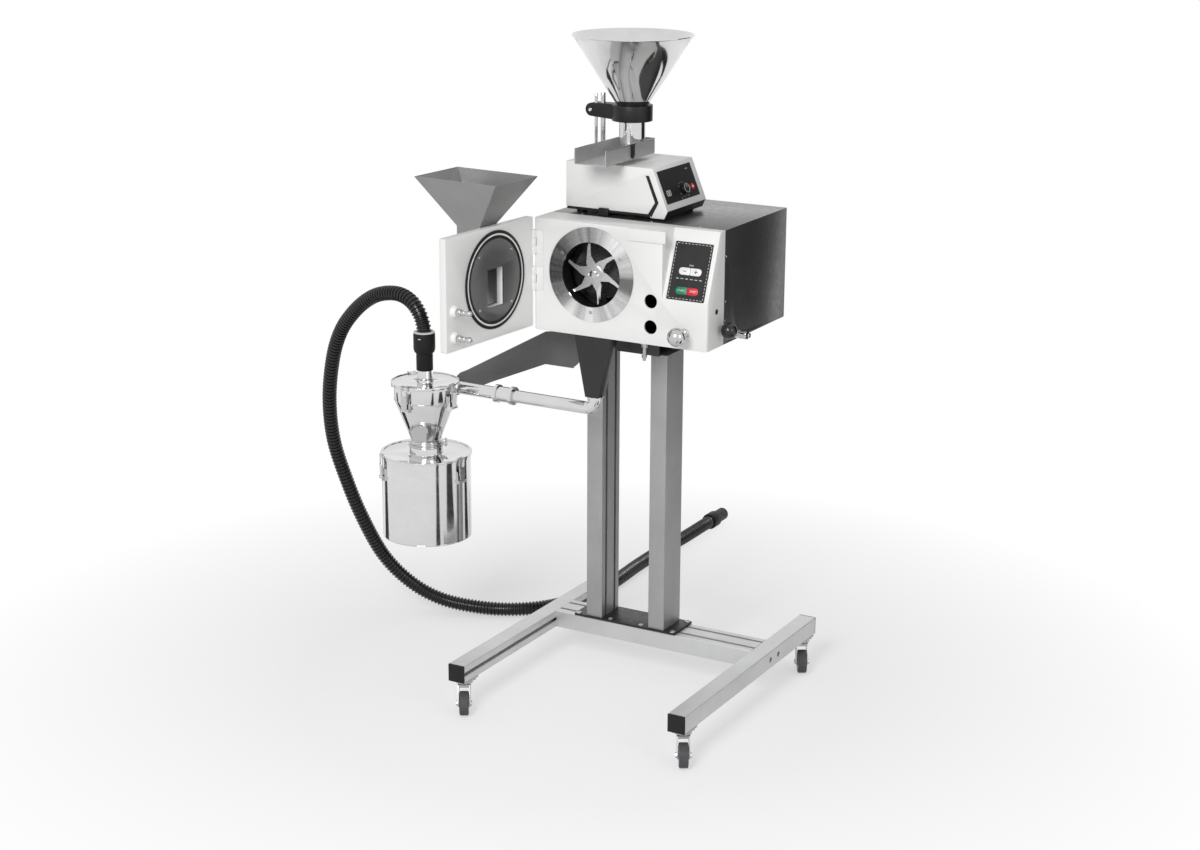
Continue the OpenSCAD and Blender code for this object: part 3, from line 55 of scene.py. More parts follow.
COLUMN_X = -77.5
MILL_X, MILL_Z = -92, 1073.5  # axis of the chamber, which runs along Y
SHELL_FRONT, SHELL_RIGHT = -200, 220
RING_FACE, INSERT_FACE = -201.4, -202.4
ROTOR_NOSE, ROTOR_DISC = -189.4, -154.1
CYCLONE_X, CYCLONE_Y = -548, -239.5
FUNNEL_X, FUNNEL_Y = -95, 5
LEVER_HUB, LEVER_REACH, LEVER_RISE = (244, -48, 936), 88, math.radians(18)
FASCIA_FOOT, FASCIA_TILT = (100, -200, 1033), math.radians(20.59)
PANEL_FOOT, PANEL_TILT = (59, -100, 1224), math.radians(22.29)
HINGE, DOOR_OPEN = (-250, -204, 0), math.radians(94)
PLATE_TOP, CASTER_BOLTS_TOP = 137, 80
CASTERS = {"fl": (-303, -452), "fr": (303, -452), "bl": (-303, 212), "br": (303, 212)}
CASTER_TRAIL, CASTER_TURN, WHEEL_R = 30, -60, 30  # the turn in degrees
SIEVE_R, SIEVE_Y = 83, -175
NECK_RINGS, LUG_TURN = (602.6, 593.6), 35  # the turn in degrees
DIAL_U, DIAL_V, TICK_R = 108, 40, 18.5  # on the feeder's slanting panel
TROUGH_LEFT, TROUGH_RIGHT, TROUGH_RIM = -138, -54, 1372.4

plate_lo, plate_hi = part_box("base_plate")
MIDDLE = Vector(
    ((plate_lo.x + plate_hi.x) / 2 - COLUMN_X / 1000, (plate_lo.y + plate_hi.y) / 2, 0)
)


def at(x, y, z):
    return MIDDLE + Vector((x, y, z)) / 1000


# Camera where the photograph was taken from

CAMERA_PLACE, CAMERA_LENS = (2448, -4669, 2186), 65.9
yaw, pitch, roll = (math.radians(a) for a in (29.354, 16.118, 0.277))
ahead = Vector(
    (-math.sin(yaw) * math.cos(pitch), math.cos(yaw) * math.cos(pitch), -math.sin(pitch))
)
lens = bpy.data.cameras.new("camera")
lens.sensor_width = 36
lens.lens = CAMERA_LENS
lens.clip_start, lens.clip_end = 0.1, 60
camera = bpy.data.objects.new("camera", lens)
scene.collection.objects.link(camera)
camera.location = at(*CAMERA_PLACE)
camera.rotation_mode = "QUATERNION"
camera.rotation_quaternion = (
    ahead.to_track_quat("-Z", "Y") @ Matrix.Rotation(roll, 3, "Z").to_quaternion()
)
scene.camera = camera

# Finishes


class Finish:
    """A material and the few nodes that its surface needs."""

    def __init__(self, name, colour, rough, metal=0.0, **sockets):
        self.mat = bpy.data.materials.new(name)
        self.mat.use_nodes = True
        self.tree = self.mat.node_tree
        self.shader = self.tree.nodes["Principled BSDF"]
        self.set("Base Color", (*colour, 1))
        self.set("Roughness", rough)
        self.set("Metallic", metal)
        for key, value in sockets.items():
            self.set(key.replace("_", " "), value)
        self.height = None

    def set(self, socket, value):
        self.shader.inputs[socket].default_value = value

    def add(self, kind, inputs=None, **settings):
        made = self.tree.nodes.new("ShaderNode" + kind)
        for key, value in settings.items():
            setattr(made, key, value)
        for key, value in (inputs or {}).items():
            if isinstance(value, bpy.types.NodeSocket):
                self.tree.links.new(value, made.inputs[key])
            else:
                made.inputs[key].default_value = value
        return made

    def coords(self, scale=(1, 1, 1)):
        place = self.add("TexCoord").outputs["Object"]
        return self.add("Mapping", {"Vector": place, "Scale": scale}).outputs["Vector"]

    def noise(self, size, detail=3.0, stretch=(1, 1, 1), rough=0.55, distortion=0.0):
        """Noise whose blobs are about `size` millimetres, stretched along the axes given."""
        vector = self.coords(tuple(1 / s for s in stretch))
        values = {"Vector": vector, "Scale": 1000 / size, "Detail": detail}
        values |= {"Roughness": rough, "Distortion": distortion}
        return self.add("TexNoise", values).outputs["Fac"]

    def math(self, operation, a, b=0.0, c=0.0):
        made = self.add("Math", operation=operation)
        for i, value in enumerate((a, b, c)):
            if isinstance(value, bpy.types.NodeSocket):
                self.tree.links.new(value, made.inputs[i])
            else:
                made.inputs[i].default_value = value
        return made.outputs[0]

    def spread(self, factor, low, high, a=0.3, b=0.7):
        made = self.add(
            "MapRange",
            {"Value": factor, "From Min": a, "From Max": b, "To Min": low, "To Max": high},
        )
        return made.outputs["Result"]

    def ramp(self, factor, *stops):
        made = self.add("ValToRGB", {"Fac": factor})
        elements = made.color_ramp.elements
        while len(elements) < len(stops):
            elements.new(0.5)
        for element, (place, colour) in zip(elements, stops):
            element.position = place
            element.color = (*colour, 1)
        return made.outputs["Color"]

    def mix(self, factor, a, b):
        made = self.add("Mix", data_type="RGBA")
        for socket, value in ((0, factor), (6, a), (7, b)):
            if isinstance(value, bpy.types.NodeSocket):
                self.tree.links.new(value, made.inputs[socket])
            elif socket == 0:
                made.inputs[0].default_value = value
            else:
                made.inputs[socket].default_value = (*value, 1)
        return made.outputs[2]

    def colour(self, socket):
        self.tree.links.new(socket, self.shader.inputs["Base Color"])

    def rough(self, socket):
        self.tree.links.new(socket, self.shader.inputs["Roughness"])

    def bump(self, height, depth):
        """Adds relief `depth` millimetres deep, on top of what is there."""
        values = {"Height": height, "Distance": depth / 1000, "Strength": 1.0}
        if self.height is not None:
            values["Normal"] = self.height
        made = self.add("Bump", values)
        self.height = made.outputs["Normal"]
        self.tree.links.new(self.height, self.shader.inputs["Normal"])


def shade(value):
    return (value, value, value)


def tinted(colour, share):
    return tuple(c * share for c in colour)


def painted(name, colour, rough, grain, depth, spread, speckle=0.0, coat=0.0):
    """Structured paint: a fine orange peel, slight tone changes and scuffs in its gloss."""
    f = Finish(
        name, colour, rough, Specular_IOR_Level=0.45, Coat_Weight=coat, Coat_Roughness=0.25
    )
    broad = f.noise(160, 4)
    tone = f.ramp(
        broad, (0.3, tinted(colour, 1 - spread)), (0.7, tinted(colour, 1.0 + spread / 2))
    )
    if speckle:
        grains = f.spread(f.noise(1.6, 2), 0.0, 1.0, 0.42, 0.62)
        tone = f.mix(f.math("MULTIPLY", grains, speckle), tone, tinted(colour, 2.6))
    f.colour(tone)
    f.rough(f.spread(f.noise(14, 5), rough - 0.07, rough + 0.07))
    f.bump(f.noise(grain, 2), depth)
    return f.mat


def brushed(name, value, rough, stretch, depth, tint=(1, 1, 1), metal=1.0):
    """Metal with fine parallel lines along the stretched axis."""
    colour = tuple(value * t for t in tint)
    f = Finish(name, colour, rough, metal)
    lines = f.noise(0.9, 4, stretch, 0.65)
    cloud = f.noise(90, 3)
    shadeful = f.math("ADD", f.math("MULTIPLY", lines, 0.6), f.math("MULTIPLY", cloud, 0.4))
    f.colour(f.ramp(shadeful, (0.32, tinted(colour, 0.86)), (0.68, tinted(colour, 1.08))))
    f.rough(f.spread(lines, rough - 0.06, rough + 0.1))
    f.bump(lines, depth)
    return f.mat


def polished(name, value, rough, wave=0.0):
    """Polished stainless steel with a faint haze, wipe marks and, where asked, slow waves."""
    colour = (value, value, value * 1.005)
    f = Finish(name, colour, rough, 1.0)
    haze = f.noise(55, 5, (1, 1, 0.5), 0.6, 0.4)
    marks = f.noise(2.2, 3, (1, 1, 12))
    f.colour(f.ramp(haze, (0.3, tinted(colour, 0.93)), (0.7, colour)))
    mixed = f.math("ADD", f.math("MULTIPLY", haze, 0.65), f.math("MULTIPLY", marks, 0.35))
    f.rough(f.spread(mixed, rough * 0.6, rough * 1.7))
    f.bump(marks, 0.004)
    if wave:
        f.bump(f.noise(60, 1, (1, 1, 14), 0.5, 0.2), wave)
    return f.mat


def moulded(name, colour, rough, grain=0.9, depth=0.03, coat=0.0, gloss=0.5):
    """Moulded plastic or rubber with a fine grain."""
    f = Finish(name, colour, rough, 0.0, Coat_Weight=coat, Specular_IOR_Level=gloss)
    cloud = f.noise(40, 4)
    f.colour(f.ramp(cloud, (0.3, tinted(colour, 0.8)), (0.7, tinted(colour, 1.15))))
    f.rough(f.spread(f.noise(6, 4), rough - 0.08, rough + 0.1))
    f.bump(f.noise(grain, 2), depth)
    return f.mat


def turned_with_painted_reflection(name, value, rough, pitch):
    """Turned metal: fine rings about the chamber's axis, with painted reflection: streaks by angle,
    a painted highlight wedge and a dark painted reflection wedge.
    """
    f = Finish(name, shade(value), rough, 1.0)
    spot = at(MILL_X, 0, MILL_Z)
    offset = f.add("VectorMath", {0: f.coords(), 1: (spot.x, 0, spot.z)}, operation="SUBTRACT")
    parts = f.add("SeparateXYZ", {0: offset.outputs["Vector"]})
    flat = f.add("CombineXYZ", {0: parts.outputs["X"], 2: parts.outputs["Z"]})
    reach = f.add("VectorMath", {0: flat.outputs[0]}, operation="LENGTH").outputs["Value"]
    turn = f.math("ARCTAN2", parts.outputs["Z"], parts.outputs["X"])
    fine = f.add(
        "TexNoise", {"W": reach, "Scale": 1000 / pitch, "Detail": 4.0}, noise_dimensions="1D"
    )
    # painted reflection: tone streaks that change with the angle round the axis stand for the
    # radial streaks a turned face reflects
    painted_reflection_sweep = f.add("TexNoise", {"W": turn, "Scale": 2.2, "Detail": 3.0}, noise_dimensions="1D")
    lines = fine.outputs["Fac"]
    tone = f.math(
        "ADD", f.math("MULTIPLY", lines, 0.4), f.math("MULTIPLY", painted_reflection_sweep.outputs["Fac"], 0.6)
    )
    # painted reflection: a bright highlight wedge at 57 degrees and a dark wedge at 176 degrees,
    # painted into the colour
    for middle, sharp, share in ((57, 12, 0.14), (176, 5, -0.17)):
        wave = f.math("COSINE", f.math("MULTIPLY_ADD", turn, 2, -2 * math.radians(middle)))
        painted_reflection_wedge = f.math("POWER", f.math("MAXIMUM", wave, 0.0), sharp)
        tone = f.math("ADD", tone, f.math("MULTIPLY", painted_reflection_wedge, share))
    dark, bright = shade(value * 0.3), shade(min(1, value * 1.6))
    f.colour(f.ramp(tone, (0.34, dark), (0.5, shade(value)), (0.64, bright)))
    f.rough(f.spread(lines, rough - 0.05, rough + 0.08))
    f.bump(lines, 0.01)
    return f.mat


def perforated(name, value, pitch):
    """Sheet with rows of small round holes round the chamber's axis."""
    f = Finish(name, shade(value), 0.38, 0.9)
    spot = at(MILL_X, SIEVE_Y, MILL_Z)
    offset = f.add("VectorMath", {0: f.coords(), 1: tuple(spot)}, operation="SUBTRACT")
    parts = f.add("SeparateXYZ", {0: offset.outputs["Vector"]})
    turn = f.math("ARCTAN2", parts.outputs["Z"], parts.outputs["X"])
    turn = f.math("MULTIPLY", turn, SIEVE_R / pitch)
    along = f.math("MULTIPLY", parts.outputs["Y"], 1000 / pitch)
    a = f.math("SINE", f.math("MULTIPLY", turn, math.tau))
    b = f.math("SINE", f.math("MULTIPLY", along, math.tau))
    holes = f.spread(f.math("MULTIPLY", a, b), 0.0, 1.0, 0.1, 0.35)
    # the holes are painted near-black: painted shade where the openings look into the chamber
    f.colour(f.mix(holes, shade(value), shade(value * 0.04)))
    f.rough(f.spread(f.noise(3, 3), 0.32, 0.5))
    f.bump(holes, -0.4)
    return f.mat


ALONG_X, ALONG_Y, ALONG_Z = (60, 1, 1), (1, 60, 1), (1, 1, 60)
WHITE = painted("white_structured_paint", (0.8, 0.8, 0.79), 0.42, 1.6, 0.02, spread=0.02)
GREY = painted("grey_structured_paint", (0.045, 0.046, 0.048), 0.5, 1.1, 0.05, spread=0.18)
HOOD = painted(
    "hood_dark_paint", (0.026, 0.026, 0.027), 0.4, 1.2, 0.05, spread=0.2, speckle=0.3, coat=0.7
)
ARM_GREY = painted(
    "arm_grey_paint", (0.105, 0.105, 0.107), 0.46, 1.1, 0.05, spread=0.18, speckle=0.2
)
PLATE_BLACK = painted("black_powder_coat", (0.011, 0.011, 0.012), 0.45, 1.0, 0.05, spread=0.2)
# two copies of one anodised profile: the uprights painted darker as painted shade, the feet painted
# lighter as painted light
PROFILE_UPRIGHT_PAINTED_SHADE = brushed("anodised_profile_upright_painted_shade", 0.4, 0.48, ALONG_Z, 0.01, (1, 1.003, 1.01), 0.75)
PROFILE_FEET_PAINTED_LIGHT = brushed("anodised_profile_feet_painted_light", 0.66, 0.46, ALONG_Y, 0.01, (1, 1.003, 1.01), 0.8)
POLISHED = polished("polished_stainless", 0.7, 0.08, wave=0.3)
FUNNEL = polished("funnel_stainless", 0.68, 0.07, wave=1.3)
MIRRORED = polished("bright_chrome", 0.56, 0.06)
TROUGH = brushed("trough_sheet", 0.62, 0.5, ALONG_Y, 0.01)
HOPPER = brushed("hopper_sheet", 0.3, 0.38, ALONG_Z, 0.01)
# near-black for the chute's stainless sheet: painted shade and painted dark reflection
CHUTE_PAINTED_DARK = brushed("chute_sheet_painted_dark", 0.055, 0.3, ALONG_Z, 0.01)
INSERT = brushed("insert_plate", 0.17, 0.36, (3, 3, 1), 0.01)
# near-black for the chamber's bore: painted shade of the chamber's inside
HOUSING_PAINTED_SHADE = brushed("housing_bore_painted_shade", 0.03, 0.45, ALONG_Y, 0.01)
ROTOR = brushed("rotor_steel", 0.72, 0.24, (1, 30, 1), 0.008)
# the chamber ring's colour carries painted reflection wedges and streaks
RING = turned_with_painted_reflection("chamber_ring_turned_painted_reflection", 0.6, 0.24, 0.5)
ZINC = brushed("zinc_plate", 0.5, 0.32, ALONG_X, 0.006, (1, 1, 1.02))
RUBBER = moulded("black_rubber", (0.007, 0.007, 0.0075), 0.5, gloss=0.25)
PLASTIC = moulded("black_moulding", (0.009, 0.009, 0.01), 0.42, gloss=0.3)
HOSE = moulded("hose_black", (0.004, 0.004, 0.0045), 0.26, 2.0, 0.02, gloss=0.5)
TREAD = moulded("grey_tread", (0.075, 0.077, 0.08), 0.6, gloss=0.3)
HUB = moulded("wheel_hub_grey", (0.3, 0.3, 0.305), 0.45)
MOTOR = painted("motor_paint", (0.05, 0.055, 0.06), 0.5, 1.4, 0.04, spread=0.2)
MEMBRANE = moulded("dark_membrane", (0.017, 0.017, 0.018), 0.4, 0.5, 0.01, gloss=0.3)
KEY_GREY = moulded("light_key", (0.78, 0.78, 0.77), 0.35, 0.6, 0.01)
KEY_GREEN = moulded("green_key", (0.0, 0.24, 0.11), 0.35, 0.6, 0.01)
KEY_RED = moulded("red_key", (0.62, 0.012, 0.03), 0.35, 0.6, 0.01)
INK = moulded("white_print", (0.8, 0.8, 0.8), 0.5, 0.4, 0.004)
SEAL_LIP = moulded("pale_seal", (0.72, 0.72, 0.71), 0.5, 0.8, 0.01)
BALL = moulded("polished_black", (0.006, 0.006, 0.0065), 0.2, 3.0, 0.002, 0.3, gloss=0.4)
SIEVE = perforated("sieve_sheet", 0.1, 4.2)

# Meshes and pieces made from the solids


def make(name, bm, finish, body, turn=40, outward=True):
    """Turns a bmesh in row-frame metres into a finished piece that rides on a body."""
    if outward:
        bmesh.ops.recalc_face_normals(bm, faces=bm.faces)
    mesh = bpy.data.meshes.new(name)
    for face in bm.faces:
        face.smooth = True
    for edge in bm.edges:
        edge.smooth = len(edge.link_faces) != 2 or edge.calc_face_angle(0) < math.radians(turn)
    bm.to_mesh(mesh)
    bm.free()
    mesh.materials.append(finish)
    made = bpy.data.objects.new(name, mesh)
    scene.collection.objects.link(made)
    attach(made, body)
    return made


body_of = {
    n: body for body, members in frame["record"]["behaviour"]["bodies"].items() for n in members
}


def soften(name, finish, width):
    """A copy of a solid with its hard edges rounded, standing for it."""
    bm = bmesh.new()
    bm.from_mesh(node[name].data)
    bmesh.ops.remove_doubles(bm, verts=bm.verts, dist=2e-6)
    bmesh.ops.dissolve_limit(
        bm, angle_limit=math.radians(0.5), verts=bm.verts, edges=bm.edges,
        use_dissolve_boundaries=False,
    )
    edges = [
        e for e in bm.edges
        if len(e.link_faces) == 2 and e.calc_face_angle(0) > math.radians(32)
    ]
    bmesh.ops.bevel(
        bm, geom=edges, offset=width / 1000, affect="EDGES", segments=2,
        profile=0.5, material=-1, clamp_overlap=True,
    )
    made = make(name + "_finished", bm, finish, body_of[name], outward=False)
    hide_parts(name)


def dress(name, finish):
    """Keeps a solid as it is, welds its triangles for smooth shading and gives it a finish."""
    solid = node[name]
    weld = solid.modifiers.new("weld", "WELD")
    weld.merge_threshold = 2e-6
    split = solid.modifiers.new("edges", "EDGE_SPLIT")
    split.split_angle = math.radians(35)
    solid.data.polygons.foreach_set("use_smooth", [True] * len(solid.data.polygons))
    solid.data.materials.clear()
    solid.data.materials.append(finish)


# Hose

HOSE_ROUTE = [
    (-548, -240, 835), (-548, -240, 855), (-548, -240, 875), (-549, -240, 897),
    (-561, -239, 930), (-589, -234, 958), (-631, -226, 970), (-686, -213, 963),
    (-740, -200, 941), (-800, -184, 897), (-858, -165, 834), (-900, -147, 750),
    (-932, -124, 630), (-943, -96, 510), (-927, -69, 400), (-899, -38, 284),
    (-860, 5, 166), (-800, 45, 86), (-726, 80, 40), (-636, 114, 22),
    (-542, 150, 20), (-460, 225, 20), (-412, 342, 20), (-402, 480, 20),
    (-410, 640, 20), (-412, 800, 20), (-406, 920, 21), (-400, 1040, 26),
    (-400, 1080, 26), (-400, 1120, 26),
]
HOSE_D = 38
HOSE_RIBS = 260
HOSE_SIDES = 28


def along_curve(points, steps):
    """Smooth curve through the points, as the part's source draws it."""
    ends = [points[0] * 2 - points[1], *points, points[-1] * 2 - points[-2]]
    line = []
    for i in range(1, len(ends) - 2):
        a, b, c, d = ends[i - 1 : i + 3]
        for k in range(steps):
            t = k / steps
            line.append(
                0.5 * (b * 2 + (c - a) * t + (a * 2 - b * 5 + c * 4 - d) * t * t
                       + (b * 3 - a - c * 3 + d) * t ** 3)
            )
    line.append(points[-1])
    return line


def tube(bm, line, rings, sides):
    """Skins a tube along a line; rings are (running length, radius) in metres."""
    runs = [0.0]
    for p, q in zip(line, line[1:]):
        runs.append(runs[-1] + (q - p).length)

    def point(s):
        s = min(max(s, 0.0), runs[-1])
        i = max(k for k in range(len(runs) - 1) if runs[k] <= s) if s > 0 else 0
        return line[i].lerp(line[i + 1], (s - runs[i]) / (runs[i + 1] - runs[i]))

    up = None
    last = None
    for s, radius in rings:
        ahead = (point(s + 0.006) - point(s - 0.006)).normalized()
        if up is None:
            up = ahead.orthogonal().normalized()
        up = (up - ahead * up.dot(ahead)).normalized()
        across = ahead.cross(up)
        place = Matrix((up, across, ahead)).transposed().to_4x4()
        place.translation = point(s)
        place = place @ Matrix.Diagonal((radius, radius, radius, 1))
        if last is None:
            loop = bmesh.ops.create_circle(
                bm, cap_ends=True, radius=1, segments=sides, matrix=place
            )["verts"]
            edges = [e for e in bm.edges if e.verts[0] in loop and e.verts[1] in loop]
        else:
            grown = bmesh.ops.extrude_edge_only(bm, edges=edges)["geom"]
            loop = [v for v in grown if isinstance(v, bmesh.types.BMVert)]
            edges = [e for e in grown if isinstance(e, bmesh.types.BMEdge)
                     and e.verts[0] in loop and e.verts[1] in loop]
            bmesh.ops.transform(bm, matrix=place @ last.inverted(), verts=loop)
        last = place
    bmesh.ops.contextual_create(bm, geom=edges)


hose_line = along_curve([at(*p) for p in HOSE_ROUTE], 10)
hose_length = sum((q - p).length for p, q in zip(hose_line, hose_line[1:]))


def hose_rings():
    plain, crest, root = HOSE_D / 2000 - 0.002, HOSE_D / 2000, HOSE_D / 2000 - 0.0031
    end = HOSE_D / 1000
    pitch = (hose_length - 2 * end) / HOSE_RIBS
    rings = [(0.0, plain), (end, plain)]
    for i in range(HOSE_RIBS):
        start = end + i * pitch
        for share, radius in ((0.1, root), (0.32, root), (0.5, crest), (0.78, crest), (0.94, root)):
            rings.append((start + share * pitch, radius))
    return rings + [(hose_length - end + 0.0015, plain), (hose_length, plain)]


bm = bmesh.new()
tube(bm, hose_line, hose_rings(), HOSE_SIDES)
hose = make("ribbed_hose", bm, HOSE, "stand", turn=50)
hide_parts("hose")

for name in ("hose_cuff", "hose_far_cuff"):
    soften(name, RUBBER, 1.2)

# Solids that keep their shape and get rounded edges or a finish

for name, finish, width in (
    ("end_caps", PLASTIC, 1.2), ("base_plate", PLATE_BLACK, 1.0), ("mount_tray", GREY, 0.8),
    ("bracket_arm", ARM_GREY, 0.8), ("caster_plates", ZINC, 0.6),
    *(("caster_fork_" + tag, ZINC, 0.5) for tag in CASTERS),
    ("rear_hood", HOOD, 0.9), ("front_shell", WHITE, 1.5), ("drive_motor", MOTOR, 1.5),
    ("rotor", ROTOR, 0.9), ("chamber_housing", HOUSING_PAINTED_SHADE, 0.8),
    ("hinge_brackets", WHITE, 0.8), ("side_lever", BALL, 0.6),
    ("door_panel", WHITE, 1.6), ("door_insert", INSERT, 0.6),
    ("outlet_chute", CHUTE_PAINTED_DARK, 0.8), ("feeder_base", PLASTIC, 0.8), ("feeder_housing", WHITE, 1.6),
    ("clamp_arm", PLASTIC, 1.2), ("feeder_dial", PLASTIC, 0.6),
    ("feeder_start_key", KEY_GREEN, 0.5), ("feeder_stop_key", KEY_RED, 0.5),
    ("guide_rods", MIRRORED, 0.6), ("lock_knob", MIRRORED, 0.4),
    ("cyclone_lid", POLISHED, 0.6), ("can_lid", POLISHED, 0.6),
    ("door_seals", RUBBER, 0.8),
):
    soften(name, finish, width)

lever_out = Vector((0, -math.cos(LEVER_RISE), math.sin(LEVER_RISE)))
ball = at(*(Vector(LEVER_HUB) + lever_out * LEVER_REACH))
disc_front = at(0, ROTOR_DISC, 0).y


def second_finish(name, finish, where):
    """Gives the faces of a finished solid whose middle passes the test another finish."""
    mesh = bpy.data.objects[name].data
    mesh.materials.append(finish)
    for face in mesh.polygons:
        if where(face.center):
            face.material_index = 1


second_finish("side_lever_finished", MIRRORED, lambda c: (c - ball).length > 0.0205)
# the rotor's back disc takes the near-black bore finish: painted shade in the chamber
second_finish("rotor_finished", HOUSING_PAINTED_SHADE, lambda c: c.y > disc_front)

for name, finish in (
    ("columns", PROFILE_UPRIGHT_PAINTED_SHADE), ("base_beams", PROFILE_FEET_PAINTED_LIGHT),
    *(("caster_wheel_" + tag, TREAD) for tag in CASTERS),
    ("ring_sieve", SIEVE), ("chamber_ring", RING), ("control_panel", MEMBRANE),
    ("hopper", HOPPER), ("outlet_pipe", POLISHED), ("cyclone_body", POLISHED),
    ("can", POLISHED), ("feeder_panel", MEMBRANE), ("feeder_trough", TROUGH),
    *((f"{holder}_latch_{side}", MIRRORED) for holder in ("cyclone", "can")
      for side in ("front", "right", "back")),
):
    dress(name, finish)

# Tools for small pieces: a place is a matrix of millimetres with Z out of the surface


def place_on(x, y, z, out=(0, 0, 1), up=(0, 1, 0)):
    z_axis = Vector(out).normalized()
    x_axis = Vector(up).cross(z_axis).normalized()
    matrix = Matrix((x_axis, z_axis.cross(x_axis), z_axis)).transposed().to_4x4()
    matrix.translation = at(x, y, z)
    return matrix @ Matrix.Diagonal((0.001, 0.001, 0.001, 1))


def step(z=0, turn=0):
    """A move out of the surface and a turn on it, in degrees."""
    return Matrix.Translation((0, 0, z)) @ Matrix.Rotation(math.radians(turn), 4, "Z")


def join(bm, part):
    """Adds the part's mesh to that of a piece."""
    mesh = bpy.data.meshes.new("part")
    part.to_mesh(mesh)
    part.free()
    bm.from_mesh(mesh)
    bpy.data.meshes.remove(mesh)


def bar(bm, size, place, edge=0.0, corners=None, segments=2):
    """Block on the surface; corners are the radii of its left and right upright edges."""
    part = bmesh.new()
    shape = Matrix.Translation((0, 0, size[2] / 2)) @ Matrix.Diagonal((*size, 1))
    bmesh.ops.create_cube(part, size=1, matrix=shape)
    for side, radius in zip((-1, 1), corners or (0, 0)):
        upright = [
            e for e in part.edges
            if abs(e.verts[0].co.z - e.verts[1].co.z) > size[2] / 2
            and e.verts[0].co.x * side > size[0] / 2 - 0.001
            and (e.verts[0].co - e.verts[1].co).xy.length < 1e-5
        ]
        if radius and upright:
            bmesh.ops.bevel(part, geom=upright, offset=radius, affect="EDGES", segments=6,
                            profile=0.5, material=-1, clamp_overlap=True)
    if edge:
        round_off(part, edge, segments)
    part.transform(place)
    join(bm, part)


def round_off(part, edge, segments, above=-1e9):
    edges = [
        e for e in part.edges
        if len(e.link_faces) == 2 and e.calc_face_angle(0) > math.radians(40)
        and min(v.co.z for v in e.verts) > above
    ]
    bmesh.ops.bevel(part, geom=edges, offset=edge, affect="EDGES", segments=segments,
                    profile=0.5, material=-1, clamp_overlap=True)


def drum(bm, d, h, place, edge, sides=36, hollow=0.0, depth=0.0):
    """Round or six-sided head; hollow is the width of the socket in its top."""
    part = bmesh.new()
    bmesh.ops.create_cone(
        part, cap_ends=True, segments=sides, radius1=d / 2, radius2=d / 2, depth=h,
        matrix=Matrix.Translation((0, 0, h / 2)),
    )
    round_off(part, edge, 2, above=h - 0.001)
    if hollow:
        top = max(part.faces, key=lambda f: f.calc_center_median().z)
        reach = (top.verts[0].co.xy.length - hollow / 2) * 0.98
        bmesh.ops.inset_individual(part, faces=[top], thickness=reach, depth=0)
        bmesh.ops.inset_individual(part, faces=[top], thickness=0.02, depth=-depth)
    part.transform(place)
    join(bm, part)


def turned(bm, profile, place, steps):
    """Lathe work: (radius, height) points spun round the axis of the place."""
    part = bmesh.new()
    points = [part.verts.new((r, 0, h)) for r, h in profile]
    edges = [part.edges.new(pair) for pair in zip(points, points[1:])]
    bmesh.ops.spin(part, geom=points + edges, cent=(0, 0, 0), axis=(0, 0, 1), angle=math.tau,
                   steps=steps, use_merge=True, use_duplicate=False)
    bmesh.ops.remove_doubles(part, verts=part.verts, dist=1e-4)
    bmesh.ops.recalc_face_normals(part, faces=part.faces)
    part.transform(place)
    join(bm, part)


def roll(radius, height, thick, points=10):
    """Profile of a round bead."""
    return [
        (radius + thick / 2 * math.cos(a), height + thick / 2 * math.sin(a))
        for a in (math.tau * i / points for i in range(points + 1))
    ]


def lettering(bm, words, size, place, depth, squeeze=1.0):
    curve = bpy.data.curves.new("words", "FONT")
    curve.body = words
    curve.size = size
    curve.align_x, curve.align_y = "CENTER", "CENTER"
    curve.extrude = depth / 2
    curve.resolution_u = 3
    holder = bpy.data.objects.new("words", curve)
    scene.collection.objects.link(holder)
    mesh = bpy.data.meshes.new_from_object(
        holder.evaluated_get(bpy.context.evaluated_depsgraph_get())
    )
    bpy.data.objects.remove(holder)
    mesh.transform(place @ Matrix.Diagonal((squeeze, 1, 1, 1)))
    bm.from_mesh(mesh)
    bpy.data.meshes.remove(mesh)


def wire(bm, points, d, sides):
    """Bent round wire through points of the stand, in millimetres."""
    line = [at(*p) for p in points]
    runs = [0.0]
    for p, q in zip(line, line[1:]):
        runs.append(runs[-1] + (q - p).length)
    part = bmesh.new()
    tube(part, line, [(run, d / 2000) for run in runs], sides)
    join(bm, part)


FRONT = dict(out=(0, -1, 0), up=(0, 0, 1))
BACK = dict(out=(0, 1, 0), up=(0, 0, 1))
RIGHT = dict(out=(1, 0, 0), up=(0, 0, 1))
DOWN = dict(out=(0, 0, -1), up=(0, 1, 0))


def front_face(x, z, y=SHELL_FRONT):
    return place_on(x, y, z, **FRONT)


def on_fascia(u, v, w):
    """u across and v up the sloping fascia, w out of it."""
    out = Vector((0, -math.cos(FASCIA_TILT), math.sin(FASCIA_TILT)))
    up = Vector((0, math.sin(FASCIA_TILT), math.cos(FASCIA_TILT)))
    spot = Vector(FASCIA_FOOT) + Vector((u, 0, 0)) + up * v + out * w
    return place_on(*spot, out=out, up=up)


def on_feeder_panel(u, v, w):
    """u back and v up the feeder's slanting panel, w out of it."""
    out = Vector((math.cos(PANEL_TILT), 0, math.sin(PANEL_TILT)))
    up = Vector((-math.sin(PANEL_TILT), 0, math.cos(PANEL_TILT)))
    spot = Vector(PANEL_FOOT) + Vector((0, u, 0)) + up * v + out * w
    return place_on(*spot, out=out, up=up)


door_swing = Matrix.Rotation(-DOOR_OPEN, 3, "Z")


def on_door(x, y, z):
    """A place on the inner face of the closed door, swung to where it stands at rest."""
    spot = Vector(HINGE) + door_swing @ (Vector((x, y, z)) - Vector(HINGE))
    return place_on(*spot, out=door_swing @ Vector((0, 1, 0)), up=(0, 0, 1))


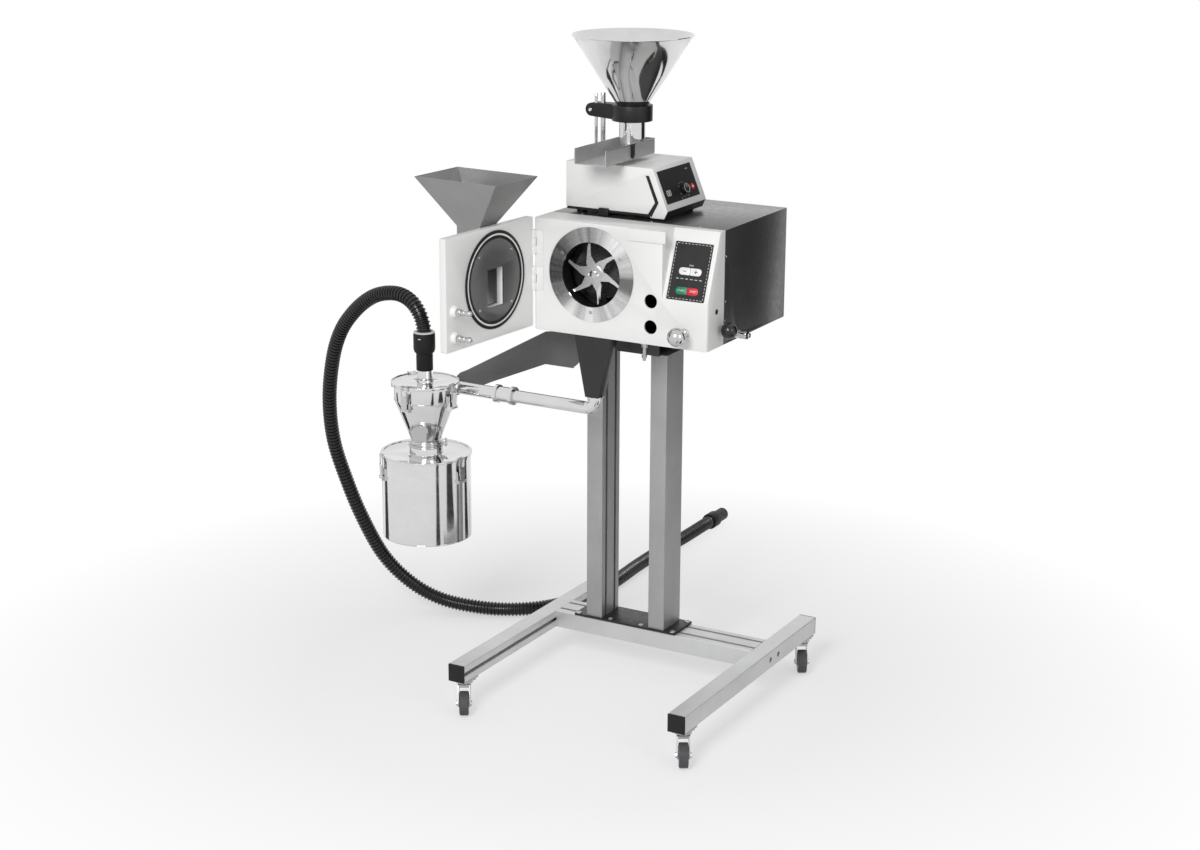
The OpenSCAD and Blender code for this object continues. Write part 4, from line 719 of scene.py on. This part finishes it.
def around(x, y, reach, angle):
    """The point at a reach and an angle in degrees from a middle."""
    a = math.radians(angle)
    return x + reach * math.cos(a), y + reach * math.sin(a)


# Grinding chamber: screws of its ring and the turned cap on the rotor

bm = bmesh.new()
for angles, reach, head, height in (
    ((30, 150, -90), 92, 9, 0.35), ((-32, 90, -150), 108, 5, 0.25)
):
    for angle in angles:
        spot = front_face(*around(MILL_X, MILL_Z, reach, angle), RING_FACE)
        drum(bm, head, height, spot, 0.1, hollow=head * 0.5, depth=0.2)
make("chamber_ring_screws", bm, ZINC, "stand", turn=30)

bm = bmesh.new()
spot = front_face(MILL_X, MILL_Z, ROTOR_NOSE)
turned(bm, [(0, 3.4), (8, 3.4), (9.5, 2.6), (10, 0), (0, 0)], spot, 48)
drum(bm, 6.4, 2.4, spot @ step(z=2.8), 0.4, hollow=3.4, depth=1.8)
make("rotor_cap", bm, MIRRORED, "rotor")

# Front shell: raised ledge beside the fascia, plugged hole in its side, screws along the seam

bm = bmesh.new()
bar(bm, (100, 30, 5), front_face(59, 1183, SHELL_FRONT + 1), 1.6, (3, 3), 3)
make("shell_ledge", bm, WHITE, "stand")

bm = bmesh.new()
turned(bm, [(0, 0.25), (4.2, 0.25), (5.2, 0.9), (6.2, 0.9), (6.6, 0), (0, 0)],
       place_on(SHELL_RIGHT, -151.9, 1010.3, **RIGHT), 40)
make("shell_side_plug", bm, PLASTIC, "stand")

bm = bmesh.new()
SEAM_Y, MILL_TOP, HOOD_BACK = -106, 1198, 229
for z in (1135, 1026, 980):
    drum(bm, 5, 1.3, place_on(SHELL_RIGHT, SEAM_Y, z, **RIGHT), 0.4, hollow=2.6, depth=0.8)
for x in (-170, 20, 150):
    drum(bm, 5, 1.3, place_on(x, SEAM_Y, MILL_TOP), 0.4, hollow=2.6, depth=0.8)
for x in (-235, 205):
    for z in (940, 1070, 1182):
        drum(bm, 7, 2, place_on(x, HOOD_BACK, z, **BACK), 0.5, hollow=3.4, depth=1.2)
make("mill_screws", bm, ZINC, "stand", turn=30)

# Stud with its nuts under the front shell

bm = bmesh.new()
spot = place_on(48.4, -188, 922, **DOWN)
drum(bm, 20, 3, spot, 0.6)
drum(bm, 15, 9, spot @ step(z=3), 1.0, sides=6)
drum(bm, 13, 7, spot @ step(z=30), 0.9, sides=6)
drum(bm, 8, 44, spot, 0.8)
make("underside_stud", bm, ZINC, "stand", turn=30)

# Membrane: broken white border, divider, a small label, and keys that meet in pairs

bm = bmesh.new()
for start, end, count, long, wide in (
    ((14, 10), (105, 10), 10, 5.2, 0.9), ((14, 141), (105, 141), 10, 5.2, 0.9),
    ((14, 10), (14, 141), 16, 4.6, 0.9), ((105, 10), (105, 141), 16, 4.6, 0.9),
    ((24, 57.5), (97, 57.5), 6, 7.0, 1.3),
):
    run = Vector(end) - Vector(start)
    for i in range(count):
        spot = on_fascia(*(Vector(start) + run * (i + 0.5) / count), 1.0)
        bar(bm, (long, wide, 0.12), spot @ step(turn=math.degrees(math.atan2(run.y, run.x))))
lettering(bm, "SPEED", 4.6, on_fascia(61, 90, 1.04), 0.1)
make("control_panel_print", bm, INK, "stand", turn=30)

for name, u, v, finish, corners, sign, ink in (
    ("minus_key", 46, 75.5, KEY_GREY, (8.4, 2), "-", PLASTIC),
    ("plus_key", 76, 75.5, KEY_GREY, (2, 8.4), "+", PLASTIC),
    ("start_key", 46, 29, KEY_GREEN, (8.4, 2), "START", INK),
    ("stop_key", 76, 29, KEY_RED, (2, 8.4), "STOP", INK),
):
    bm = bmesh.new()
    bar(bm, (27, 16, 1.5), on_fascia(u, v, 0.2), 0, (7, 7))
    bar(bm, (29.2, 17.6, 0.7), on_fascia(u, v, 1.68), 0.3, corners)
    cap = make(name + "_cap", bm, finish, name)
    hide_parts(name)
    bm = bmesh.new()
    if sign in "-+":
        bar(bm, (8, 1.8, 0.14), on_fascia(u, v, 2.35))
        if sign == "+":
            bar(bm, (1.8, 8, 0.14), on_fascia(u, v, 2.35))
    else:
        lettering(bm, sign, 7.2, on_fascia(u, v, 2.41), 0.12, 0.9)
    make(name + "_sign", bm, ink, name, turn=30)

# Lock knob's collar and the side lever's plated parts

bm = bmesh.new()
turned(
    bm,
    [(5, 11), (8, 11), (9.8, 9.6), (9.8, 7), (8.6, 6), (8.6, 5), (10.6, 4), (12, 2), (12, 0.2),
     (5, 0.2), (5, 11)],
    front_face(162, 961), 64,
)
make("lock_knob_collar", bm, MIRRORED, "lock_knob")

bm = bmesh.new()
spot = place_on(*LEVER_HUB, **RIGHT)
drum(bm, 23, 13, spot @ step(z=-22.8, turn=12), 1.2, sides=6)
drum(bm, 12, 3, spot @ step(z=12), 0.8, hollow=5, depth=1.6)
neck = Vector(LEVER_HUB) + lever_out * 62
drum(bm, 15, 9, place_on(*neck, out=lever_out, up=(0, 0, 1)), 0.9, sides=6)
make("side_lever_nuts", bm, MIRRORED, "side_lever")

# Door: pale lip between the two seal rings, screws of the insert, bosses and grooved pins

bm = bmesh.new()
turned(bm, [(111, 2), (111, 3.6), (110.2, 4.2), (106.4, 4.2), (105.6, 3.6), (105.6, 2), (111, 2)],
       on_door(MILL_X, HINGE[1] - 2, MILL_Z), 144)
make("door_seal_lip", bm, SEAL_LIP, "door")

bm = bmesh.new()
for angle in (45, 135, -135, -45):
    x, z = around(MILL_X, MILL_Z, 90, angle)
    drum(bm, 7, 0.6, on_door(x, INSERT_FACE, z), 0.2, hollow=3.4, depth=0.45)
make("door_insert_screws", bm, MIRRORED, "door", turn=30)

bosses, pins = bmesh.new(), bmesh.new()
for z in (1027.5, 965):
    spot = on_door(70, HINGE[1], z)
    turned(
        bosses,
        [(0, 0), (15, 0), (14.6, 2), (12.6, 8), (11, 10), (9, 10.6), (0, 10.6)], spot, 64,
    )
    drum(pins, 20, 7, spot @ step(z=10.6, turn=15), 1.1, sides=6)
    turned(
        pins,
        [(0, 17), (8, 17), (8, 19.5), (5.6, 21), (5.6, 24), (7, 25.5), (7, 31), (5, 32.5), (5, 37),
         (7, 39), (7, 46.4), (6, 48.6), (4, 50), (0, 50)],
        spot, 48,
    )
bosses = make("lock_pin_bosses", bosses, WHITE, "door")
pins = make("lock_pins_turned", pins, MIRRORED, "door")
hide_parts("lock_pins")

# Feeder: inlaid strip, print on its panel, pointer of the dial, the trough's catch

outline = [(0, 1306), (8.5, 1306), (35, 1243.5), (16.5, 1207), (6.5, 1213), (25.5, 1243)]
bm = bmesh.new()
points = [bm.verts.new(at(x, -99.4, z)) for x, z in outline]
sides = [bm.edges.new(pair) for pair in zip(points, points[1:] + points[:1])]
bmesh.ops.contextual_create(bm, geom=sides)
grown = bmesh.ops.extrude_face_region(bm, geom=list(bm.faces))["geom"]
lifted = [v for v in grown if isinstance(v, bmesh.types.BMVert)]
bmesh.ops.translate(bm, verts=lifted, vec=(0, -0.0009, 0))
make("feeder_strip", bm, PLASTIC, "stand")

bm = bmesh.new()
lettering(bm, "00", 22, on_feeder_panel(36, 40, 0.9), 0.1)
for i in range(11):
    turn = 150 - i * 30
    spot = on_feeder_panel(*around(DIAL_U, DIAL_V, TICK_R, turn), 0.82)
    bar(bm, (0.7, 2.6 if i % 5 else 4.2, 0.12), spot @ step(turn=turn - 90))
lettering(bm, "0", 5, on_feeder_panel(90, 20, 0.9), 0.1)
lettering(bm, "10", 5, on_feeder_panel(127, 22, 0.9), 0.1)
lettering(bm, "AUTO", 4.4, on_feeder_panel(155, 86, 0.9), 0.1)
make("feeder_panel_print", bm, INK, "stand", turn=30)

for name, u, sign in (
    ("feeder_start_key", 136, (1.6, 6, 0.14)), ("feeder_stop_key", 158, (5, 5, 0.14))
):
    bm = bmesh.new()
    bar(bm, sign, on_feeder_panel(u, 40, 2.2))
    make(name + "_sign", bm, INK, name, turn=30)

bm = bmesh.new()
turned(bm, [(0, 12.9), (9.6, 12.9), (10.6, 13.4), (11.6, 13.4), (12.2, 12.8), (0, 12.6)],
       on_feeder_panel(DIAL_U, DIAL_V, 0), 64)
bar(bm, (1.6, 8, 0.5), on_feeder_panel(DIAL_U, DIAL_V + 5, 13.3))
make("feeder_dial_cap", bm, TROUGH, "feeder_dial")

bm = bmesh.new()
bar(bm, (19, 24, 2.4), place_on(TROUGH_RIGHT, -68, 1359, **RIGHT), 0.7, (2, 2))
drum(bm, 18, 2.6, place_on(TROUGH_RIGHT, -68, 1347, **RIGHT), 0.7, sides=32)
bar(bm, (24, 3, 5), place_on(TROUGH_RIGHT - 2, -68, 1372, **RIGHT), 0.8)
make("trough_catch", bm, PLASTIC, "trough")

bm = bmesh.new()
for x in (TROUGH_LEFT, TROUGH_RIGHT):
    wire(bm, [(x, y, TROUGH_RIM) for y in (-199.5, -100, 0, 44.5)], 2.4, 10)
    wire(bm, [(x, -199.6, z) for z in (1337, 1355, 1372)], 1.8, 8)
wire(bm, [(x, 44, TROUGH_RIM) for x in (TROUGH_LEFT, -96, TROUGH_RIGHT)], 2.4, 10)
make("trough_hems", bm, MIRRORED, "trough")

# Funnel spun anew with a rolled rim, and the screws of its clamp

bm = bmesh.new()
turned(
    bm,
    [(31, 1364), (32.5, 1364), (32.5, 1452), (33.5, 1456.4), (38.5, 1456.5), (40, 1458.5),
     (86, 1528), (145, 1621), (147.6, 1621.6), (148.6, 1623.2), (147.8, 1624.7), (145.4, 1624.8),
     (143.6, 1623), (84.4, 1528.6), (38, 1459.2), (33, 1458.6), (31, 1456), (31, 1364)],
    place_on(FUNNEL_X, FUNNEL_Y, 0), 160,
)
funnel = make("funnel_spun", bm, FUNNEL, "funnel_slide", turn=50)
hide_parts("funnel")

bm = bmesh.new()
for y, side in ((-14, FRONT), (20, BACK)):
    drum(bm, 9, 2.4, place_on(-201, y, 1438.5, **side), 0.6, hollow=4.4, depth=1.6)
make("clamp_arm_screws", bm, MIRRORED, "funnel_slide")

# Cuff: pale ring where the hose enters and a small moulded mark

bm = bmesh.new()
cyclone_axis = place_on(CYCLONE_X, CYCLONE_Y, 0)
turned(
    bm,
    [(19.4, 885), (25.4, 883.4), (26.6, 884.6), (26.6, 886.6), (25, 887.8), (19.4, 887.8),
     (19.4, 885)],
    cyclone_axis, 72,
)
make("cuff_ring", bm, SEAL_LIP, "stand")

bm = bmesh.new()
x, y = around(CYCLONE_X, CYCLONE_Y, 27.4, -82)
bar(bm, (7, 1.6, 0.5), place_on(x, y, 872, out=(*around(0, 0, 1, -82), 0), up=(0, 0, 1)))
make("cuff_mark", bm, INK, "stand")

# Cyclone and can: beads, the clamp rings of the neck, weld rings and their screws

bm = bmesh.new()
for radius, height, thick, steps in (
    (78.8, 716, 2, 120), (111.6, 358.6, 3.4, 144), (84.2, 759.6, 3.2, 128),
    (114.4, 574.6, 3.4, 144), (19.6, 767, 3, 64),
):
    turned(bm, roll(radius, height, thick), cyclone_axis, steps)
for height in NECK_RINGS:
    turned(bm, roll(42, height, 6, 14), cyclone_axis, 96)
make("cyclone_beads", bm, MIRRORED, "stand")

bm = bmesh.new()
x, y = around(CYCLONE_X, CYCLONE_Y, 48, LUG_TURN)
for z in NECK_RINGS:
    bar(bm, (8, 12, 6), place_on(x, y, z - 3, up=(*around(0, 0, 1, LUG_TURN), 0)), 0.8)
drum(bm, 5, 22, place_on(*around(CYCLONE_X, CYCLONE_Y, 50, LUG_TURN), 587), 0.6)
make("neck_clamp_lugs", bm, MIRRORED, "stand")

# Stand: bolts of the base plate, of the beams, and of the arm

bm = bmesh.new()
for x in (-214, 59):
    for y in (-42, 42):
        drum(bm, 15, 2.4, place_on(x, y, PLATE_TOP), 0.6, hollow=7, depth=1.8)
for x in (-122, -33):
    drum(bm, 12, 2, place_on(x, -40, PLATE_TOP), 0.5, hollow=6, depth=1.5)
make("base_plate_bolts", bm, ZINC, "stand", turn=30)

bm = bmesh.new()
for x, y in CASTERS.values():
    for dx in (-17, 17):
        for dy in (-17, 17):
            spot = place_on(x + dx, y + dy, CASTER_BOLTS_TOP, **DOWN)
            drum(bm, 8.5, 3, spot, 0.6, sides=6)
make("caster_bolts", bm, ZINC, "stand", turn=30)

for tag, (x, y) in CASTERS.items():
    bm = bmesh.new()
    for side in (-1, 1):
        out = (*around(0, 0, side, CASTER_TURN + 90), 0)
        spot = place_on(
            *around(x, y, CASTER_TRAIL, CASTER_TURN), WHEEL_R, out=out, up=(0, 0, 1)
        )
        turned(
            bm,
            [(6, 9.4), (6, 10.2), (12.5, 10.2), (13.5, 11.2), (21.5, 11.2), (22.4, 10.6),
             (22.4, 9.4), (6, 9.4)],
            spot, 48,
        )
    make("wheel_hub_" + tag, bm, HUB, "wheel_" + tag)

# Floor, backdrop and light

floor_mat = Finish("pale_floor", (0.93, 0.93, 0.93), 0.9, Specular_IOR_Level=0.0)
rays = floor_mat.add("LightPath").outputs
seen = floor_mat.math("MAXIMUM", rays["Is Camera Ray"], rays["Is Glossy Ray"])
seen = floor_mat.math("MAXIMUM", seen, rays["Is Transmission Ray"])
away = floor_mat.add("VectorMath", {0: floor_mat.coords()}, operation="LENGTH").outputs["Value"]
fade = floor_mat.spread(away, 0.5, 1.0, 0.7, 1.7)
white_out = floor_mat.add("Emission", {"Color": (1, 1, 1, 1), "Strength": 1.0})
blend = floor_mat.add("MixShader", {"Fac": floor_mat.math("MULTIPLY", fade, seen)})
floor_mat.tree.links.new(floor_mat.shader.outputs[0], blend.inputs[1])
floor_mat.tree.links.new(white_out.outputs[0], blend.inputs[2])
floor_mat.tree.links.new(
    blend.outputs[0], floor_mat.tree.nodes["Material Output"].inputs["Surface"]
)
floor_mat.rough(floor_mat.spread(floor_mat.noise(300, 3), 0.85, 0.95))

bm = bmesh.new()
bmesh.ops.create_grid(bm, x_segments=1, y_segments=1, size=14)
mesh = bpy.data.meshes.new("floor")
bm.to_mesh(mesh)
bm.free()
mesh.materials.append(floor_mat.mat)
floor = bpy.data.objects.new("floor", mesh)
floor.location = (0, 0, -0.0005)
scene.collection.objects.link(floor)

world = bpy.data.worlds.new("studio")
scene.world = world
world.use_nodes = True
tree = world.node_tree
background = tree.nodes["Background"]
background.inputs["Color"].default_value = (1, 1, 1, 1)
rays = tree.nodes.new("ShaderNodeLightPath").outputs
seen = rays["Is Camera Ray"]
for ray in ("Is Glossy Ray", "Is Transmission Ray"):
    either = tree.nodes.new("ShaderNodeMath")
    either.operation = "MAXIMUM"
    tree.links.new(seen, either.inputs[0])
    tree.links.new(rays[ray], either.inputs[1])
    seen = either.outputs[0]
level = tree.nodes.new("ShaderNodeMapRange")
level.inputs["To Min"].default_value = 0.42
level.inputs["To Max"].default_value = 1.0
tree.links.new(seen, level.inputs["Value"])
tree.links.new(level.outputs[0], background.inputs["Strength"])


LIGHT_TARGET = Vector((0, 0, 0.9))


def softbox(name, place, width, height, watts):
    """Soft rectangular light that looks at the middle of the part."""
    lamp = bpy.data.lights.new(name, "AREA")
    lamp.shape = "RECTANGLE"
    lamp.size, lamp.size_y = width, height
    lamp.energy = watts
    box = bpy.data.objects.new(name, lamp)
    box.location = place
    box.rotation_mode = "QUATERNION"
    box.rotation_quaternion = (LIGHT_TARGET - Vector(place)).to_track_quat("-Z", "Y")
    scene.collection.objects.link(box)


softbox("key_light", (0.7, -4.1, 3.3), 1.6, 1.6, 122)
softbox("side_light", (3.6, -1.2, 2.2), 1.4, 2.0, 16)

# Dark cards that only reflections see: they give the polished metal its dark edges

card_mat = Finish("dark_card", shade(0.012), 0.9)
card_mat.rough(card_mat.spread(card_mat.noise(200), 0.8, 0.95))


def card(name, middle, length, width, turn, upright=False):
    """Card of the length and width, its length turned degrees round from the front."""
    a = math.radians(turn)
    along = Vector((math.sin(a), -math.cos(a), 0))
    across = Vector((0, 0, 1)) if upright else Vector((0, 0, 1)).cross(along)
    place = Matrix((along, across, along.cross(across))).transposed().to_4x4()
    place.translation = middle
    bm = bmesh.new()
    bmesh.ops.create_grid(bm, x_segments=1, y_segments=1, size=0.5)
    bm.transform(place @ Matrix.Diagonal((length, width, 1, 1)))
    mesh = bpy.data.meshes.new(name)
    bm.to_mesh(mesh)
    bm.free()
    mesh.materials.append(card_mat.mat)
    made = bpy.data.objects.new(name, mesh)
    scene.collection.objects.link(made)
    made.visible_camera = made.visible_diffuse = made.visible_shadow = False


card("card_left", (-1.9, 0.0, 0.004), 1.5, 0.4, -95)
card("card_right", (1.15, -0.95, 0.004), 1.5, 0.22, 62)
card("card_right_edge", (1.55, 0.0, 0.004), 1.4, 0.5, 90)
card("card_back", (0.5, 1.5, 0.004), 1.5, 0.34, 149)
card("card_hood", (1.7, 1.9, 1.5), 2.2, 3.0, 55, upright=True)

scene.view_settings.view_transform = "Standard"
